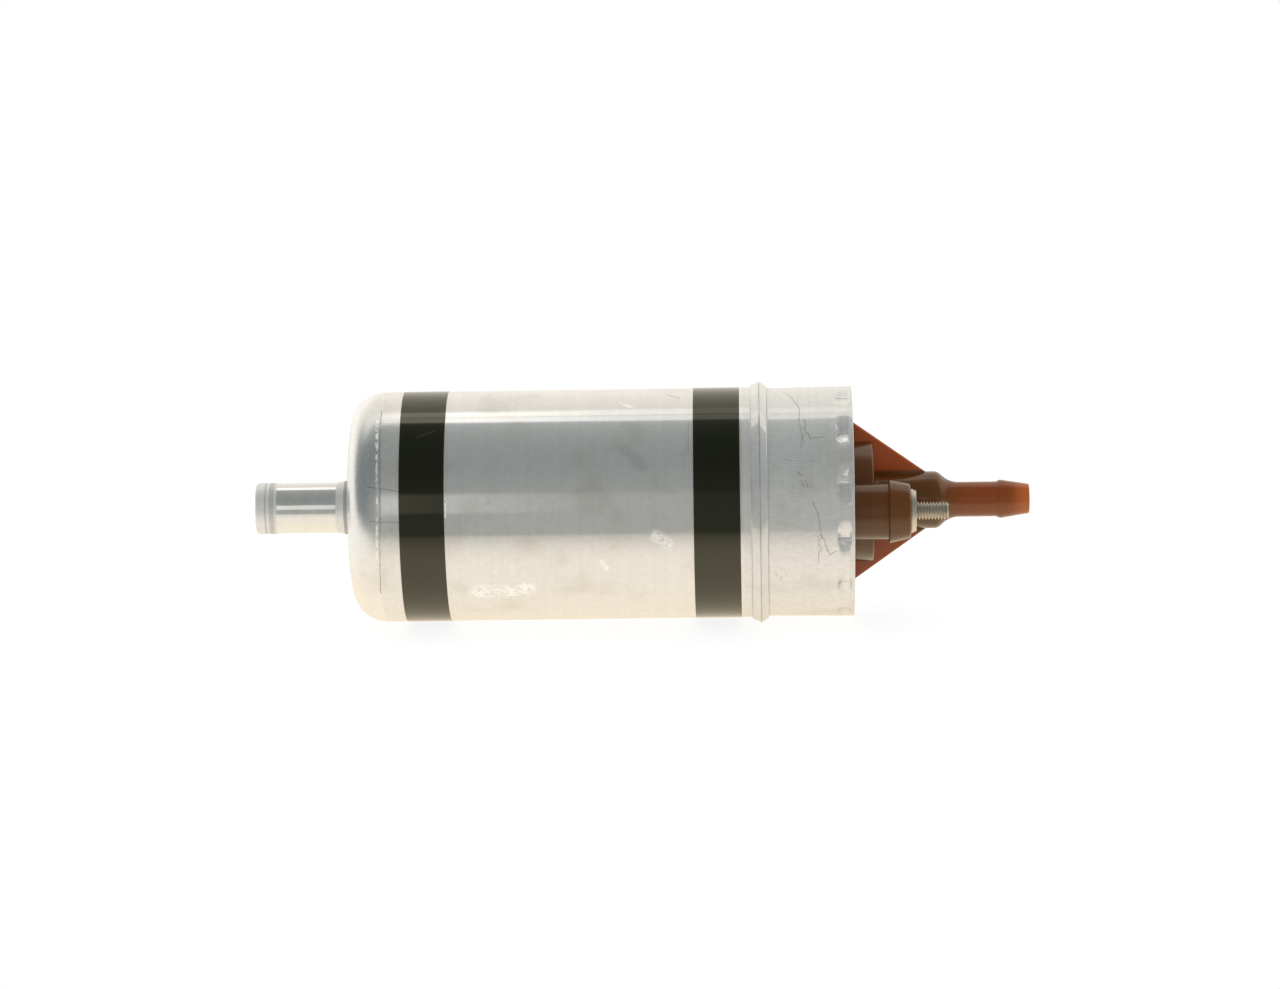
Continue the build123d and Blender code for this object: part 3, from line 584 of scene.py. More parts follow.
def place_piece(bm, name, slot, nodes):
    """Make a finished mesh an object that rides on the housing and stands for its nodes."""
    piece = add_mesh(bm, name, finish_of(slot))
    piece.data.shade_smooth()
    piece.data.set_sharp_from_angle(angle=SHARP_ANGLE)
    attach(piece, HOUSING)
    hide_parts(*nodes)


# Can and bands


def tail_radius(sizes, x, bead_end):
    """Radius of the can's tail, which draws in behind the bead and widens to the rim."""
    barrel = BAND_RADIUS - sizes.film
    return barrel - sizes.waist * (RIM_X - x) / (RIM_X - bead_end)


def can_corners(sizes):
    """Outline of the can, outside from the stub's tip to the rim and back inside."""
    barrel = BAND_RADIUS - sizes.film
    bore = barrel - sizes.wall
    face = STUB_TIP_X + sizes.stub_length
    tip_chamfer = 0.3 * MM
    bevel = 0.1 * MM
    tip_round = 0.1 * MM
    mouth_round = 0.15 * MM
    fine_round = 0.03 * MM
    collar_round = 2.5 * MM
    root_round = 1.3 * MM
    foot_round = 0.15 * MM
    bead_round = 0.4 * MM
    crest_round = 0.5 * MM
    groove = STUB_TIP_X + 2.3 * MM
    groove_end = groove + 0.8 * MM
    ring_end = STUB_TIP_X + 4.5 * MM
    ring = sizes.stub_radius + sizes.stub_bead
    collar = sizes.stub_radius + sizes.stub_collar
    collar_start = face - 3.6 * MM
    ridge = face + sizes.shoulder - 0.7 * MM
    bead = rear_band_high.x + sizes.bead_gap
    bead_front = bead + sizes.bead_step
    crest = bead_front + sizes.bead_rise
    bead_rear = crest + sizes.bead_fall
    bead_end = bead_rear + sizes.bead_step
    bead_side = barrel + sizes.bead_step_height
    crimp = RIM_X - sizes.crimp_length
    lip = RIM_X - sizes.lip_length
    rim_round = 0.22 * MM
    wall_rows, crimp_rows, lip_rows = 4, 6, 7
    ramp = crimp + sizes.crimp_wall
    rows = [crimp - 0.05 * MM]
    rows += [crimp + sizes.crimp_wall * k / wall_rows for k in range(wall_rows)]
    rows += [ramp + (lip - ramp) * k / crimp_rows for k in range(crimp_rows)]
    rows += [lip + sizes.lip_rise * k / lip_rows for k in range(lip_rows + 1)]
    outside = [
        (STUB_TIP_X, sizes.stub_bore, mouth_round),
        (STUB_TIP_X, ring - tip_chamfer, tip_round),
        (STUB_TIP_X + tip_chamfer, ring, tip_round),
        (groove, ring),
        (groove + bevel, sizes.stub_radius),
        (groove_end - bevel, sizes.stub_radius),
        (groove_end, ring),
        (ring_end, ring, fine_round),
        (ring_end + bevel, sizes.stub_radius),
        (collar_start, sizes.stub_radius, collar_round),
        (collar_start + sizes.stub_flare, collar, collar_round),
        (face, collar, root_round),
        (face, barrel, sizes.shoulder - 0.8 * MM),
        (ridge, barrel),
        (ridge + 0.06 * MM, barrel + sizes.shoulder_line, fine_round),
        (ridge + 0.2 * MM, barrel - 0.02 * MM, fine_round),
        (ridge + 0.4 * MM, barrel),
        (bead, barrel, foot_round),
        (bead_front, bead_side, bead_round),
        (crest, barrel + sizes.bead_height, crest_round),
        (bead_rear, bead_side, bead_round),
        (bead_end, barrel - sizes.waist, foot_round),
    ]
    outside += [(x, tail_radius(sizes, x, bead_end)) for x in rows]
    outside.append((RIM_X, barrel, rim_round))
    inside = [
        (RIM_X, bore, rim_round),
        *[(x, tail_radius(sizes, x, bead_end) - sizes.wall) for x in rows[::-2]],
        (bead_end, barrel - sizes.waist - sizes.wall),
        (crest, bore + sizes.bead_height, bead_round),
        (bead, bore),
        (face + sizes.wall, bore, sizes.shoulder - sizes.wall),
        (face + sizes.wall, sizes.stub_bore, 0.8 * MM),
    ]
    return outside + inside


def gather_faces(bm, sizes):
    """Crowd the faces round the can towards the crimps' middles, where the shape needs them."""
    crowding = 0.6
    for vert in bm.verts:
        radius = math.hypot(vert.co.y, vert.co.z)
        turn = math.atan2(vert.co.z, -vert.co.y)
        phase = (turn - sizes.crimp_angle) * sizes.crimp_count
        turn -= crowding * math.sin(phase) / sizes.crimp_count
        vert.co.y = -radius * math.cos(turn)
        vert.co.z = radius * math.sin(turn)


def smooth(value):
    """Smooth rise from 0 to 1 while a value goes from 0 to 1."""
    value = min(1.0, max(0.0, value))
    return value * value * (3 - 2 * value)


def press_crimps(bm, sizes):
    """Push the rim's sheet in at each crimp: a V with a fold, behind a steep wall, that ends at the lip."""
    start = RIM_X - sizes.crimp_length
    lip = RIM_X - sizes.lip_length
    spacing = FULL_TURN / sizes.crimp_count
    half_width = sizes.crimp_width / 2
    crease_round = 0.12 * MM
    flank_bend = 1.6
    wall_spread = 0.35
    crease_start = 1.5
    crease_taper = 1.0
    fold_fade = 1.35
    barrel = BAND_RADIUS - sizes.film
    for vert in bm.verts:
        past = vert.co.x - start
        if past < 0.0:
            continue
        turn = math.atan2(vert.co.z, -vert.co.y)
        offset = (turn - sizes.crimp_angle + spacing / 2) % spacing - spacing / 2
        aside = offset * barrel
        across = (math.hypot(aside, crease_round) - crease_round) / half_width
        flank = max(0.0, 1 - across) ** flank_bend
        folds = aside / (sizes.crease_width * (crease_start - crease_taper * past / sizes.crimp_length))
        fold = math.sin(FULL_TURN * folds) * math.exp(-(fold_fade * folds) ** 2)
        from_top = (turn - offset - sizes.shallow_angle + math.pi) % FULL_TURN - math.pi
        full_depth = 1 - sizes.shallow_share * math.exp(-(from_top / sizes.shallow_reach) ** 2)
        full_depth *= min(1.0, past / (sizes.crimp_wall + wall_spread * abs(aside)))
        full_depth *= 1 - sizes.crimp_rise * past / sizes.crimp_length
        full_depth *= 1 - smooth((vert.co.x - lip) / sizes.lip_rise)
        push = full_depth * (sizes.crimp_depth * flank + sizes.crease_depth * fold)
        radius = math.hypot(vert.co.y, vert.co.z)
        scale = (radius - push) / radius
        vert.co.y *= scale
        vert.co.z *= scale


class PUMP_OT_can(bpy.types.Operator):
    """Add the drawn can with its stub, shoulder, bead and crimps"""

    bl_idname = "fuel_pump.can"
    bl_label = "Can"

    def execute(self, context):
        sizes = context.scene.fuel_pump.can
        bm = revolve(can_corners(sizes), sizes.segments, wedges=sizes.crimp_count)
        gather_faces(bm, sizes)
        press_crimps(bm, sizes)
        place_piece(bm, "can_shell", "satin_aluminium", ["can"])
        return {"FINISHED"}


class PUMP_OT_bands(bpy.types.Operator):
    """Add the two glossy bands round the can"""

    bl_idname = "fuel_pump.bands"
    bl_label = "Bands"

    def execute(self, context):
        sizes = context.scene.fuel_pump.can
        inner = BAND_RADIUS - sizes.film - 0.01 * MM
        edge = 0.03 * MM
        bands = [
            ("front_band", front_band_low, front_band_high),
            ("rear_band", rear_band_low, rear_band_high),
        ]
        for node, low, high in bands:
            corners = [
                (low.x, inner),
                (low.x, BAND_RADIUS, edge),
                (high.x, BAND_RADIUS, edge),
                (high.x, inner),
            ]
            bm = revolve(corners, sizes.segments, wedges=sizes.crimp_count)
            place_piece(bm, f"{node}_film", "band_film", [node])
        return {"FINISHED"}


# Outlet cover


def cover_stations(can, cover):
    """Places along the axis and radii that the cover's sub-parts share."""
    face = RIM_X - can.crimp_length - 0.1 * MM
    bulge = RIM_X + cover.neck_length
    bulge_end = bulge + cover.bulge_length
    collar = RIM_X + cover.tower_length
    return SimpleNamespace(
        face=face,
        floor=face - cover.flange,
        radius=BAND_RADIUS - can.film - can.waist - can.wall - cover.fit,
        boss_end=RIM_X + cover.boss_rise,
        bulge=bulge,
        bulge_end=bulge_end,
        bulge_radius=cover.neck_radius + cover.bulge_height,
        tube=bulge_end + cover.ogee,
        collar=collar,
        tower_end=collar + cover.collar_length,
    )


def cover_corners(cover, at):
    """Outline of the cover's turned body: skirt, flange, boss, neck, tube, barb and bores."""
    skirt_inner = at.radius - cover.skirt_wall
    seal = at.floor + 3.0 * MM
    seal_end = seal + 2.2 * MM
    seal_floor = at.radius - 1.4 * MM
    skirt_round = 0.2 * MM
    neck_round = 1.6 * MM
    barb_round = 0.4 * MM
    fine_round = 0.3 * MM
    barb = at.tube + cover.tube_length
    pocket_end = at.floor + 6.5 * MM
    skirt = cover_low.x
    return [
        (skirt, skirt_inner),
        (skirt, at.radius, skirt_round),
        (seal, at.radius),
        (seal, seal_floor),
        (seal_end, seal_floor),
        (seal_end, at.radius),
        (at.face, at.radius, cover.edge_round),
        (at.face, cover.boss_radius, cover.edge_round),
        (at.boss_end, cover.boss_radius, 2 * cover.edge_round),
        (at.boss_end, cover.neck_radius, neck_round),
        (at.bulge - 5.0 * MM, cover.neck_radius),
        (at.bulge, at.bulge_radius),
        (at.bulge_end, at.bulge_radius, cover.ogee_head),
        (at.tube, cover.tube_radius, cover.ogee_foot),
        (barb, cover.tube_radius, fine_round),
        (barb + cover.barb_rise, cover.tube_radius + cover.barb_height, barb_round),
        (TIP_X, cover.barb_tip, fine_round),
        (TIP_X, cover.bore, cover.edge_round),
        (at.bulge, cover.bore),
        (at.bulge, cover.chamber),
        (pocket_end, cover.chamber),
        (pocket_end, cover.holder),
        (at.floor, cover.holder),
        (at.floor, skirt_inner),
    ]


def tower(cover, at, side, hole):
    """Mesh of a terminal tower with its collar, open for the stud."""
    sunk = 1.0 * MM
    seat_round = 0.15 * MM
    collar_round = 0.3 * MM
    end_round = 0.7 * MM
    foot = at.face - sunk
    collar = cover.tower_radius + cover.collar_lip
    corners = [
        (foot, hole),
        (foot, cover.tower_radius),
        (at.collar, cover.tower_radius, seat_round),
        (at.collar, collar, collar_round),
        (at.tower_end, collar - cover.collar_drop, end_round),
        (at.tower_end, hole),
    ]
    return revolve(corners, cover.segments, side=side)


def web(cover, at, turn):
    """Mesh of one web, a triangular plate between the flange and the neck's swelling."""
    inner = (cover.neck_radius + cover.chamber) / 2
    slope = (cover.web_reach - at.bulge_radius) / (at.bulge - RIM_X)
    foot = cover.web_reach + (RIM_X - at.face) * slope
    sunk = 0.5 * MM
    bm = bmesh.new()
    places = [
        (at.face - sunk, inner),
        (at.face - sunk, foot + sunk * slope),
        (at.bulge + sunk, at.bulge_radius - sunk * slope),
        (at.bulge + sunk, inner),
    ]
    bm.faces.new([bm.verts.new((x, -cover.web_thickness / 2, z)) for x, z in places])
    push_faces(bm, (0.0, cover.web_thickness, 0.0))
    outer = [
        edge for edge in bm.edges
        if abs(edge.verts[0].co.y - edge.verts[1].co.y) < WELD
        and min(vert.co.z for vert in edge.verts) > inner + sunk
        and abs(edge.verts[0].co.x - edge.verts[1].co.x) > WELD
    ]
    bmesh.ops.bevel(
        bm, geom=outer, offset=cover.web_edge, offset_type="OFFSET", segments=6, profile=0.5,
        affect="EDGES", material=-1,
    )
    turn_verts(bm, bm.verts[:], turn)
    return bm


def brush_block(cover, at, turn):
    """Mesh of the block under the skirt that guides one brush, with its pocket."""
    low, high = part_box("upper_brush")
    play = 0.08 * MM
    wall = 2.4 * MM
    front = low.x - play - 1.1 * MM
    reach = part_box("commutator")[1].z
    bottom = reach - 0.3 * MM
    top = at.radius - cover.skirt_wall + 0.1 * MM
    bm = bmesh.new()
    rings = []
    for start, end, half in [
        (front, at.floor, high.y + play + wall),
        (low.x - play, high.x + play, high.y + play),
    ]:
        places = [(start, -half), (end, -half), (end, half), (start, half)]
        rings.append([bm.verts.new((x, y, bottom)) for x, y in places])
    outer, inner = rings
    for corner in range(4):
        following = (corner + 1) % 4
        bm.faces.new((outer[corner], outer[following], inner[following], inner[corner]))
    push_faces(bm, (0.0, 0.0, top - bottom))
    turn_verts(bm, bm.verts[:], turn)
    return bm


class PUMP_OT_cover(bpy.types.Operator):
    """Add the outlet cover with its neck, barb, webs and terminal towers"""

    bl_idname = "fuel_pump.cover"
    bl_label = "Outlet Cover"

    def execute(self, context):
        settings = context.scene.fuel_pump
        cover = settings.cover
        terminals = settings.terminals
        at = cover_stations(settings.can, cover)
        parts = [revolve(cover_corners(cover, at), cover.segments)]
        for node, thread in [("near_stud", terminals.near_radius), ("far_stud", terminals.far_radius)]:
            low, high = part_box(node)
            parts.append(tower(cover, at, (low.y + high.y) / 2, thread + terminals.root_step))
        for turn in (0.0, math.pi):
            parts.append(web(cover, at, turn))
            parts.append(brush_block(cover, at, turn))
        place_piece(join(parts), "outlet_cover", "brown_plastic", ["end_cover"])
        return {"FINISHED"}


# Terminals


def thread_profile(pitch, crest, root):
    """One pitch of a metric thread's profile, as (x, radius) points."""
    return [
        (0.0, root),
        (pitch / 4, root),
        (pitch * 9 / 16, crest),
        (pitch * 11 / 16, crest),
        (pitch, root),
    ]


def threaded_rod(start, end, side, crest, pitch, segments, tip_chamfer):
    """Mesh of a helical thread between two places, closed at both and chamfered at its tip."""
    thread_depth = 0.6134 * pitch
    lead_in = 1.5 * pitch
    root = crest - thread_depth
    turns = math.ceil((end - start) / pitch) + 2
    bm = bmesh.new()
    profile = thread_profile(pitch, crest, root)
    verts = [bm.verts.new((start - lead_in + x, side, radius)) for x, radius in profile]
    for first, second in zip(verts, verts[1:]):
        bm.edges.new((first, second))
    sweep(bm, (0.0, side, 0.0), FULL_TURN * turns, segments * turns, rise=AXIS * (pitch / segments))
    bmesh.ops.remove_doubles(bm, verts=bm.verts[:], dist=WELD)
    for place, outwards in ((end, AXIS), (start, -AXIS)):
        bmesh.ops.bisect_plane(
            bm, geom=bm.verts[:] + bm.edges[:] + bm.faces[:], dist=WELD, plane_co=(place, 0, 0),
            plane_no=outwards, clear_outer=True,
        )
    bmesh.ops.holes_fill(bm, edges=[edge for edge in bm.edges if edge.is_boundary])
    for vert in bm.verts:
        offset = Vector((0.0, vert.co.y - side, vert.co.z))
        most = crest - max(0.0, vert.co.x - (end - tip_chamfer))
        if offset.length > most:
            vert.co.y = side + offset.y * most / offset.length
            vert.co.z = offset.z * most / offset.length
    bmesh.ops.recalc_face_normals(bm, faces=bm.faces[:])
    return bm


class PUMP_OT_studs(bpy.types.Operator):
    """Add the two threaded terminal studs"""

    bl_idname = "fuel_pump.studs"
    bl_label = "Studs"

    def execute(self, context):
        sizes = context.scene.fuel_pump.terminals
        head_round = 0.2 * MM
        neck_round = 0.1 * MM
        studs = [("near", sizes.near_radius, sizes.near_pitch), ("far", sizes.far_radius, sizes.far_pitch)]
        for name, crest, pitch in studs:
            low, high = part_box(f"{name}_stud")
            side = (low.y + high.y) / 2
            head = (high.y - low.y) / 2
            plate_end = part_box(f"{name}_contact_plate")[1].x
            root = crest + sizes.root_step
            neck = low.x + sizes.head_length
            corners = [
                (low.x, 0.0),
                (low.x, head, head_round),
                (neck, head, head_round),
                (neck, root),
                (plate_end, root, neck_round),
                (plate_end, 0.0),
            ]
            body = revolve(corners, sizes.segments, side=side, closed=False)
            rod = threaded_rod(
                plate_end - pitch / 2, high.x, side, crest, pitch, sizes.segments, sizes.tip_chamfer
            )
            place_piece(join([body, rod]), f"{name}_threaded_stud", "nickel_steel", [f"{name}_stud"])
        return {"FINISHED"}


class PUMP_OT_contact_plates(bpy.types.Operator):
    """Add the stepped contact plate under each stud's thread"""

    bl_idname = "fuel_pump.contact_plates"
    bl_label = "Contact Plates"

    def execute(self, context):
        sizes = context.scene.fuel_pump.terminals
        for name, thread in [("near", sizes.near_radius), ("far", sizes.far_radius)]:
            low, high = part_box(f"{name}_contact_plate")
            side = (low.y + high.y) / 2
            rim = (high.y - low.y) / 2
            middle = (low.x + high.x) / 2
            bore = thread + sizes.root_step
            edge = 0.08 * MM
            corners = [
                (low.x, bore),
                (low.x, rim, edge),
                (middle, rim, edge),
                (middle, rim - sizes.plate_step),
                (high.x, rim - sizes.plate_step, edge),
                (high.x, bore),
            ]
            bm = revolve(corners, 2 * sizes.segments, side=side)
            place_piece(bm, f"{name}_stepped_plate", "nickel_steel", [f"{name}_contact_plate"])
        return {"FINISHED"}


# Finishes

# Marks on the can and its bands, among them a painted shade line and painted highlights at the shoulder's
# ridge and a painted glint beside the front band: strength, half width in mm, and points of (mm along X,
# degrees round)
DARK_MARKS_AND_PAINTED_SHADE = [
    (0.55, 0.15, [(47.9, 81.8), (49.5, 76.2), (50.1, 71.7), (51.4, 63.5), (51.3, 53.9)]),
    (0.5, 0.13, [(51.3, 53.9), (51.9, 45.0), (51.6, 37.6)]),
    (0.5, 0.14, [(52.4, 55.2), (52.8, 51.2), (52.6, 48.0)]),
    (0.55, 0.16, [(53.0, 46.8), (53.7, 42.6), (55.2, 43.1), (56.6, 43.6)]),
    (0.5, 0.14, [(50.65, 25.0), (51.5, 23.0)]),
    (0.5, 0.14, [(51.5, 20.5), (52.1, 17.0)]),
    (0.5, 0.14, [(52.4, 20.5), (53.0, 17.0)]),
    (0.55, 0.16, [(54.1, 9.6), (55.2, 3.2), (55.6, -4.2)]),
    (0.5, 0.14, [(55.1, -7.2), (55.3, -15.1), (55.1, -21.8)]),
    (0.6, 0.17, [(55.6, -5.7), (56.4, -9.3), (56.9, -13.6), (57.7, -17.4), (59.1, -15.2)]),
    (0.5, 0.12, [(52.0, 54.5), (52.9, 51.5), (52.2, 48.5), (52.9, 46.5), (52.0, 43.5), (52.3, 40.0)]),
    (0.45, 0.12, [(55.9, -8.0), (55.2, -11.0), (55.9, -13.5), (55.3, -17.0)]),
    (0.28, 0.12, [(47.5, 31.0), (49.6, 30.8)]),
    (0.28, 0.12, [(50.5, 29.2), (52.6, 29.6)]),
    (0.28, 0.12, [(53.6, 30.4), (55.0, 30.1)]),
    (0.28, 0.12, [(48.6, 33.0), (50.2, 33.2)]),
    (0.4, 0.13, [(47.0, -24.0), (47.1, -25.5)]),
    (0.4, 0.13, [(47.9, -28.0), (48.0, -29.2)]),
    (0.4, 0.13, [(46.9, -30.5), (47.0, -32.0)]),
    (0.35, 0.13, [(45.6, -27.0), (45.7, -29.5)]),
    (0.4, 0.13, [(47.1, -33.5), (47.2, -35.0)]),
    (0.3, 0.4, [(21.8, 79.7), (24.5, 74.5)]),
    (0.35, 0.13, [(26.6, 52.8), (26.6, 36.2)]),
    (0.14, 2.2, [(12.8, 37.2), (16.3, 28.6)]),
    (0.35, 0.13, [(-17.8, 14.7), (-17.8, 9.8)]),
    # Painted shade: a dark line along the fine ridge where the shoulder starts
    (0.6, 0.16, [(-42.1, 66.0), (-41.9, 40.0), (-41.7, 13.0), (-42.3, -25.0), (-42.5, -38.0)]),
    (0.5, 0.13, [(-44.2, 3.2), (-42.2, 2.7), (-37.6, 2.6)]),
    (0.6, 0.14, [(-44.5, 20.0), (-42.1, 19.3), (-37.7, 17.7)]),
]
SCUFFS_AND_PAINTED_HIGHLIGHTS = [
    # Painted highlight: a bright line just before the shoulder's ridge
    (0.85, 0.5, [(-42.85, 60.0), (-42.65, 40.0)]),
    (0.6, 0.35, [(-42.65, 40.0), (-42.4, 13.0), (-42.8, -18.0)]),
    (0.95, 2.7, [(-20.5, -37.4), (-13.0, -38.2), (-9.6, -36.0)]),
    (0.5, 2.0, [(19.3, -6.0), (21.8, -10.0)]),
    (0.5, 0.8, [(6.9, -19.5), (8.4, -23.6)]),
    (0.6, 0.7, [(11.8, 69.1), (14.1, 66.2)]),
    # Painted glint on the can beside the front band's edge
    (0.6, 0.25, [(-27.35, 14.0), (-27.35, 4.7)]),
]
# Painted shade lines round the can, at the stub's end groove and root and at the bead's steps and crest: mm
# along X, half width in mm, and strength
PAINTED_SHADE_RINGS = [
    (-69.45, 0.1, 0.35),
    (-68.05, 0.5, 0.3),
    (-51.3, 0.35, 0.5),
    (40.5, 0.06, 0.22),
    (42.4, 0.08, 0.38),
    (44.15, 0.08, 0.24),
]
FILM_MARKS = [
    (0.22, 0.25, [(-33.7, 46.3), (-29.9, 49.9)]),
    (0.7, 0.2, [(-29.3, -39.6), (-29.3, -40.0)]),
]


def satin_aluminium(looks):
    """Drawn aluminium: a sharp gloss over a wide haze, fine grain round the can, small marks, painted shade
    lines and faintly glowing painted highlights.
    """
    finish = Finish("satin_aluminium")
    x = finish.x
    grain = finish.noise((5200.0, 60.0), detail=3.0)
    streaks = finish.noise((900.0, 14.0))
    mottle = finish.noise(900.0, detail=3.0)
    shoulder_x = STUB_TIP_X + 29.7 * MM
    on_dome = finish.near(x, shoulder_x - 4.2 * MM, 3.6 * MM, 1.0 * MM)
    on_front = finish.near(x, shoulder_x - 1.5 * MM, 6.0 * MM, 0.5 * MM)
    on_tail = finish.step(x, rear_band_high.x, rear_band_high.x + 1.0 * MM)
    on_ring = finish.most(
        1.0 - finish.step(x, STUB_TIP_X + 4.5 * MM, STUB_TIP_X + 5.0 * MM),
        finish.near(x, STUB_TIP_X + 20.2 * MM, 1.7 * MM, 0.5 * MM),
    )
    place = finish.unrolled(0.45 * MM, 1300.0)
    marks_and_painted_shade = finish.marks(place, DARK_MARKS_AND_PAINTED_SHADE)
    # Painted shade lines round the stub and the bead join the dark marks
    for ring, reach, strength in PAINTED_SHADE_RINGS:
        marks_and_painted_shade = finish.most(marks_and_painted_shade, finish.near(x, ring * MM, reach * MM, 0.12 * MM) * strength)
    blotches = finish.noise(1300.0, detail=3.0, roughness=0.65)
    islands = finish.noise(430.0, detail=1.0)
    scuff_and_highlight_mask = finish.marks(place, SCUFFS_AND_PAINTED_HIGHLIGHTS) * finish.step(blotches * 0.55 + islands * 0.45, 0.42, 0.53)
    tone = finish.step(streaks * 0.4 + mottle * 0.6, 0.3, 0.7)
    cloud = finish.step(finish.noise(110.0, detail=4.0), 0.5, 0.72)
    combed = finish.step(finish.noise((420.0, 4600.0)), 0.45, 0.7)
    speckle = finish.step(finish.noise(3600.0), 0.42, 0.66)
    base = finish.layers(
        (0.90, 0.905, 0.895),
        (tone, looks.aluminium),
        (cloud * 0.3, (0.66, 0.62, 0.55)),
        (combed * (0.1 + on_tail * 0.15), (0.60, 0.61, 0.61)),
        (on_dome * 0.3, (0.88, 0.90, 0.92)),
        (speckle * (0.15 + on_front * 0.07), (0.55, 0.57, 0.60)),
        (marks_and_painted_shade, (0.16, 0.16, 0.15)),
    )
    rougher = on_front * 0.1 + on_dome * 0.1 + on_ring * 0.25
    roughness = looks.aluminium_roughness + (mottle - 0.5) * 0.06 + rougher
    grained = finish.bump(grain, 0.002 * MM, 0.5)
    dimpled = finish.bump(mottle, 0.003 * MM, 0.5, below=grained)
    gloss = finish.principled(Base_Color=base, Roughness=roughness, Metallic=1.0, Normal=dimpled)
    haze = finish.principled(
        Base_Color=base, Roughness=0.55, Metallic=looks.aluminium_metal, Normal=dimpled
    )
    # Scuffs and painted highlights: a pale finish whose emission paints a faint glow over them
    scuff = finish.principled(
        Base_Color=(1.0, 0.99, 0.95), Roughness=0.4, Metallic=0.35, Emission_Color=(1.0, 0.98, 0.92),
        Emission_Strength=0.2,
    )
    haze_share = (
        looks.barrel_haze + (looks.dome_haze - looks.barrel_haze) * on_dome
        + (looks.tail_haze - looks.barrel_haze) * on_tail + (0.95 - looks.barrel_haze) * on_ring
    )
    finish.show(finish.blend(scuff_and_highlight_mask, finish.blend(haze_share, gloss, haze), scuff))


def band_film(looks):
    """Near-black glossy film with a painted highlight as a thin lighter line at each cut edge, and a light
    scuff.
    """
    finish = Finish("band_film")
    dust = finish.step(finish.noise(2600.0, detail=4.0), 0.72, 0.8)
    # Painted highlight: a thin lighter line along each edge of the bands
    edge_line = 0.12 * MM
    to_edge = abs(finish.x - front_band_low.x)
    for edge in (front_band_high.x, rear_band_low.x, rear_band_high.x):
        to_edge = finish.least(to_edge, abs(finish.x - edge))
    rim = 1.0 - finish.step(to_edge, edge_line / 2, edge_line)
    scuff = finish.marks(finish.unrolled(0.3 * MM, 1500.0), FILM_MARKS)
    base = finish.layers(
        looks.film, (rim, looks.film_edge), (finish.most(dust * 0.15, scuff), looks.film_edge)
    )
    ripple = finish.noise((90.0, 160.0))
    finish.show(finish.principled(
        Base_Color=base, Roughness=0.06 + dust * 0.2, IOR=1.71, Specular_Tint=(1.0, 0.99, 0.78),
        Normal=finish.bump(ripple, 0.004 * MM, 0.4),
    ))


def brown_plastic(looks):
    """Brown moulded plastic, with the orange glow of light through its thin webs, its tube and its tip
    painted into its colour.
    """
    finish = Finish("brown_plastic")
    cloud = finish.noise(160.0, detail=3.0)
    fine = finish.noise(2400.0)
    web_glow_mask = finish.near(finish.y, 0.0, 0.95 * MM, 0.02 * MM)
    web_glow_mask = web_glow_mask * finish.step(finish.radius(), 6.6 * MM, 7.4 * MM)
    web_glow_mask = web_glow_mask * finish.step(finish.x, RIM_X, RIM_X + 1.0 * MM)
    tube = finish.step(finish.x, TIP_X - 21.0 * MM, TIP_X - 14.0 * MM)
    tip = finish.step(finish.x, TIP_X - 5.0 * MM, TIP_X - 0.6 * MM)
    # The web, tube and tip layers paint the orange glow of light coming through the thin plastic
    base = finish.layers(
        looks.plastic,
        (0.25 + cloud * 0.5, finish.mix(0.3, looks.plastic, looks.thin_plastic)),
        (web_glow_mask * (0.85 + cloud * 0.2), looks.thin_plastic),
        (tube * 0.42, looks.thin_plastic),
        (tip * 0.5, looks.tip_painted_glow),
    )
    finish.show(finish.principled(
        Base_Color=base, Roughness=0.2 + fine * 0.07, IOR=1.58, Specular_Tint=(1.0, 0.96, 0.88),
        Normal=finish.bump(fine, 0.004 * MM, 0.3),
    ))


def metal(finish, tint, roughness, grain_scale, metallic=1.0, groove=0.0):
    """Metal with a fine grain and slight changes of tone, and painted shade that darkens grooves where a
    mask gives them.
    """
    grain = finish.noise(grain_scale, detail=3.0)
    darker = tuple(part * 0.72 for part in tint)
    patch = finish.noise(240.0)
    base = finish.layers(darker, (0.35 + patch * 0.6, tint), (groove, linear(140, 132, 118)))
    finish.show(finish.principled(
        Base_Color=base, Roughness=roughness + (grain - 0.5) * 0.15, Metallic=metallic,
        Normal=finish.bump(grain, 0.006 * MM, 0.4),
    ))


def nickel_steel(looks, terminals):
    """Nickel plating, dull, with painted shade that darkens the threads' grooves."""
    finish = Finish("nickel_steel")
    plate_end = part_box("near_contact_plate")[1].x
    offset = (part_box("far_stud")[0].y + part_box("far_stud")[1].y) / 2
    wider = terminals.far_radius - terminals.near_radius
    # Painted shade: darker the deeper a point lies below the thread's crest
    crest = terminals.near_radius + finish.step(finish.y, -MM, MM) * wider
    groove = finish.step(crest - finish.radius(offset), 0.08 * MM, 0.35 * MM)
    groove = groove * finish.step(finish.x, plate_end, plate_end + 0.2 * MM)
    metal(finish, looks.nickel, 0.5, 2600.0, metallic=0.9, groove=groove * 0.35)


def copper():
    """Enamelled copper wire, wound in fine parallel turns."""
    finish = Finish("copper")
    turns = finish.node(
        "ShaderNodeTexWave", {"wave_type": "BANDS", "bands_direction": "X"},
        output="Fac", Vector=finish.point, Scale=520.0, Distortion=1.4, Detail=1.0,
    )
    base = finish.mix(turns, linear(112, 52, 22), linear(206, 124, 76))
    finish.show(finish.principled(
        Base_Color=base, Roughness=0.3, Metallic=0.85, Normal=finish.bump(turns, 0.12 * MM, 0.8)
    ))


def dull(name, tint, roughness, grain_scale, depth):
    """Matt stuff such as rubber, carbon, ferrite or plain plastic, with a faint grain."""
    finish = Finish(name)
    grain = finish.noise(grain_scale, detail=4.0)
    darker = tuple(part * 0.7 for part in tint)
    finish.show(finish.principled(
        Base_Color=finish.mix(grain, darker, tint), Roughness=roughness + (grain - 0.5) * 0.2,
        Normal=finish.bump(grain, depth, 0.5),
    ))


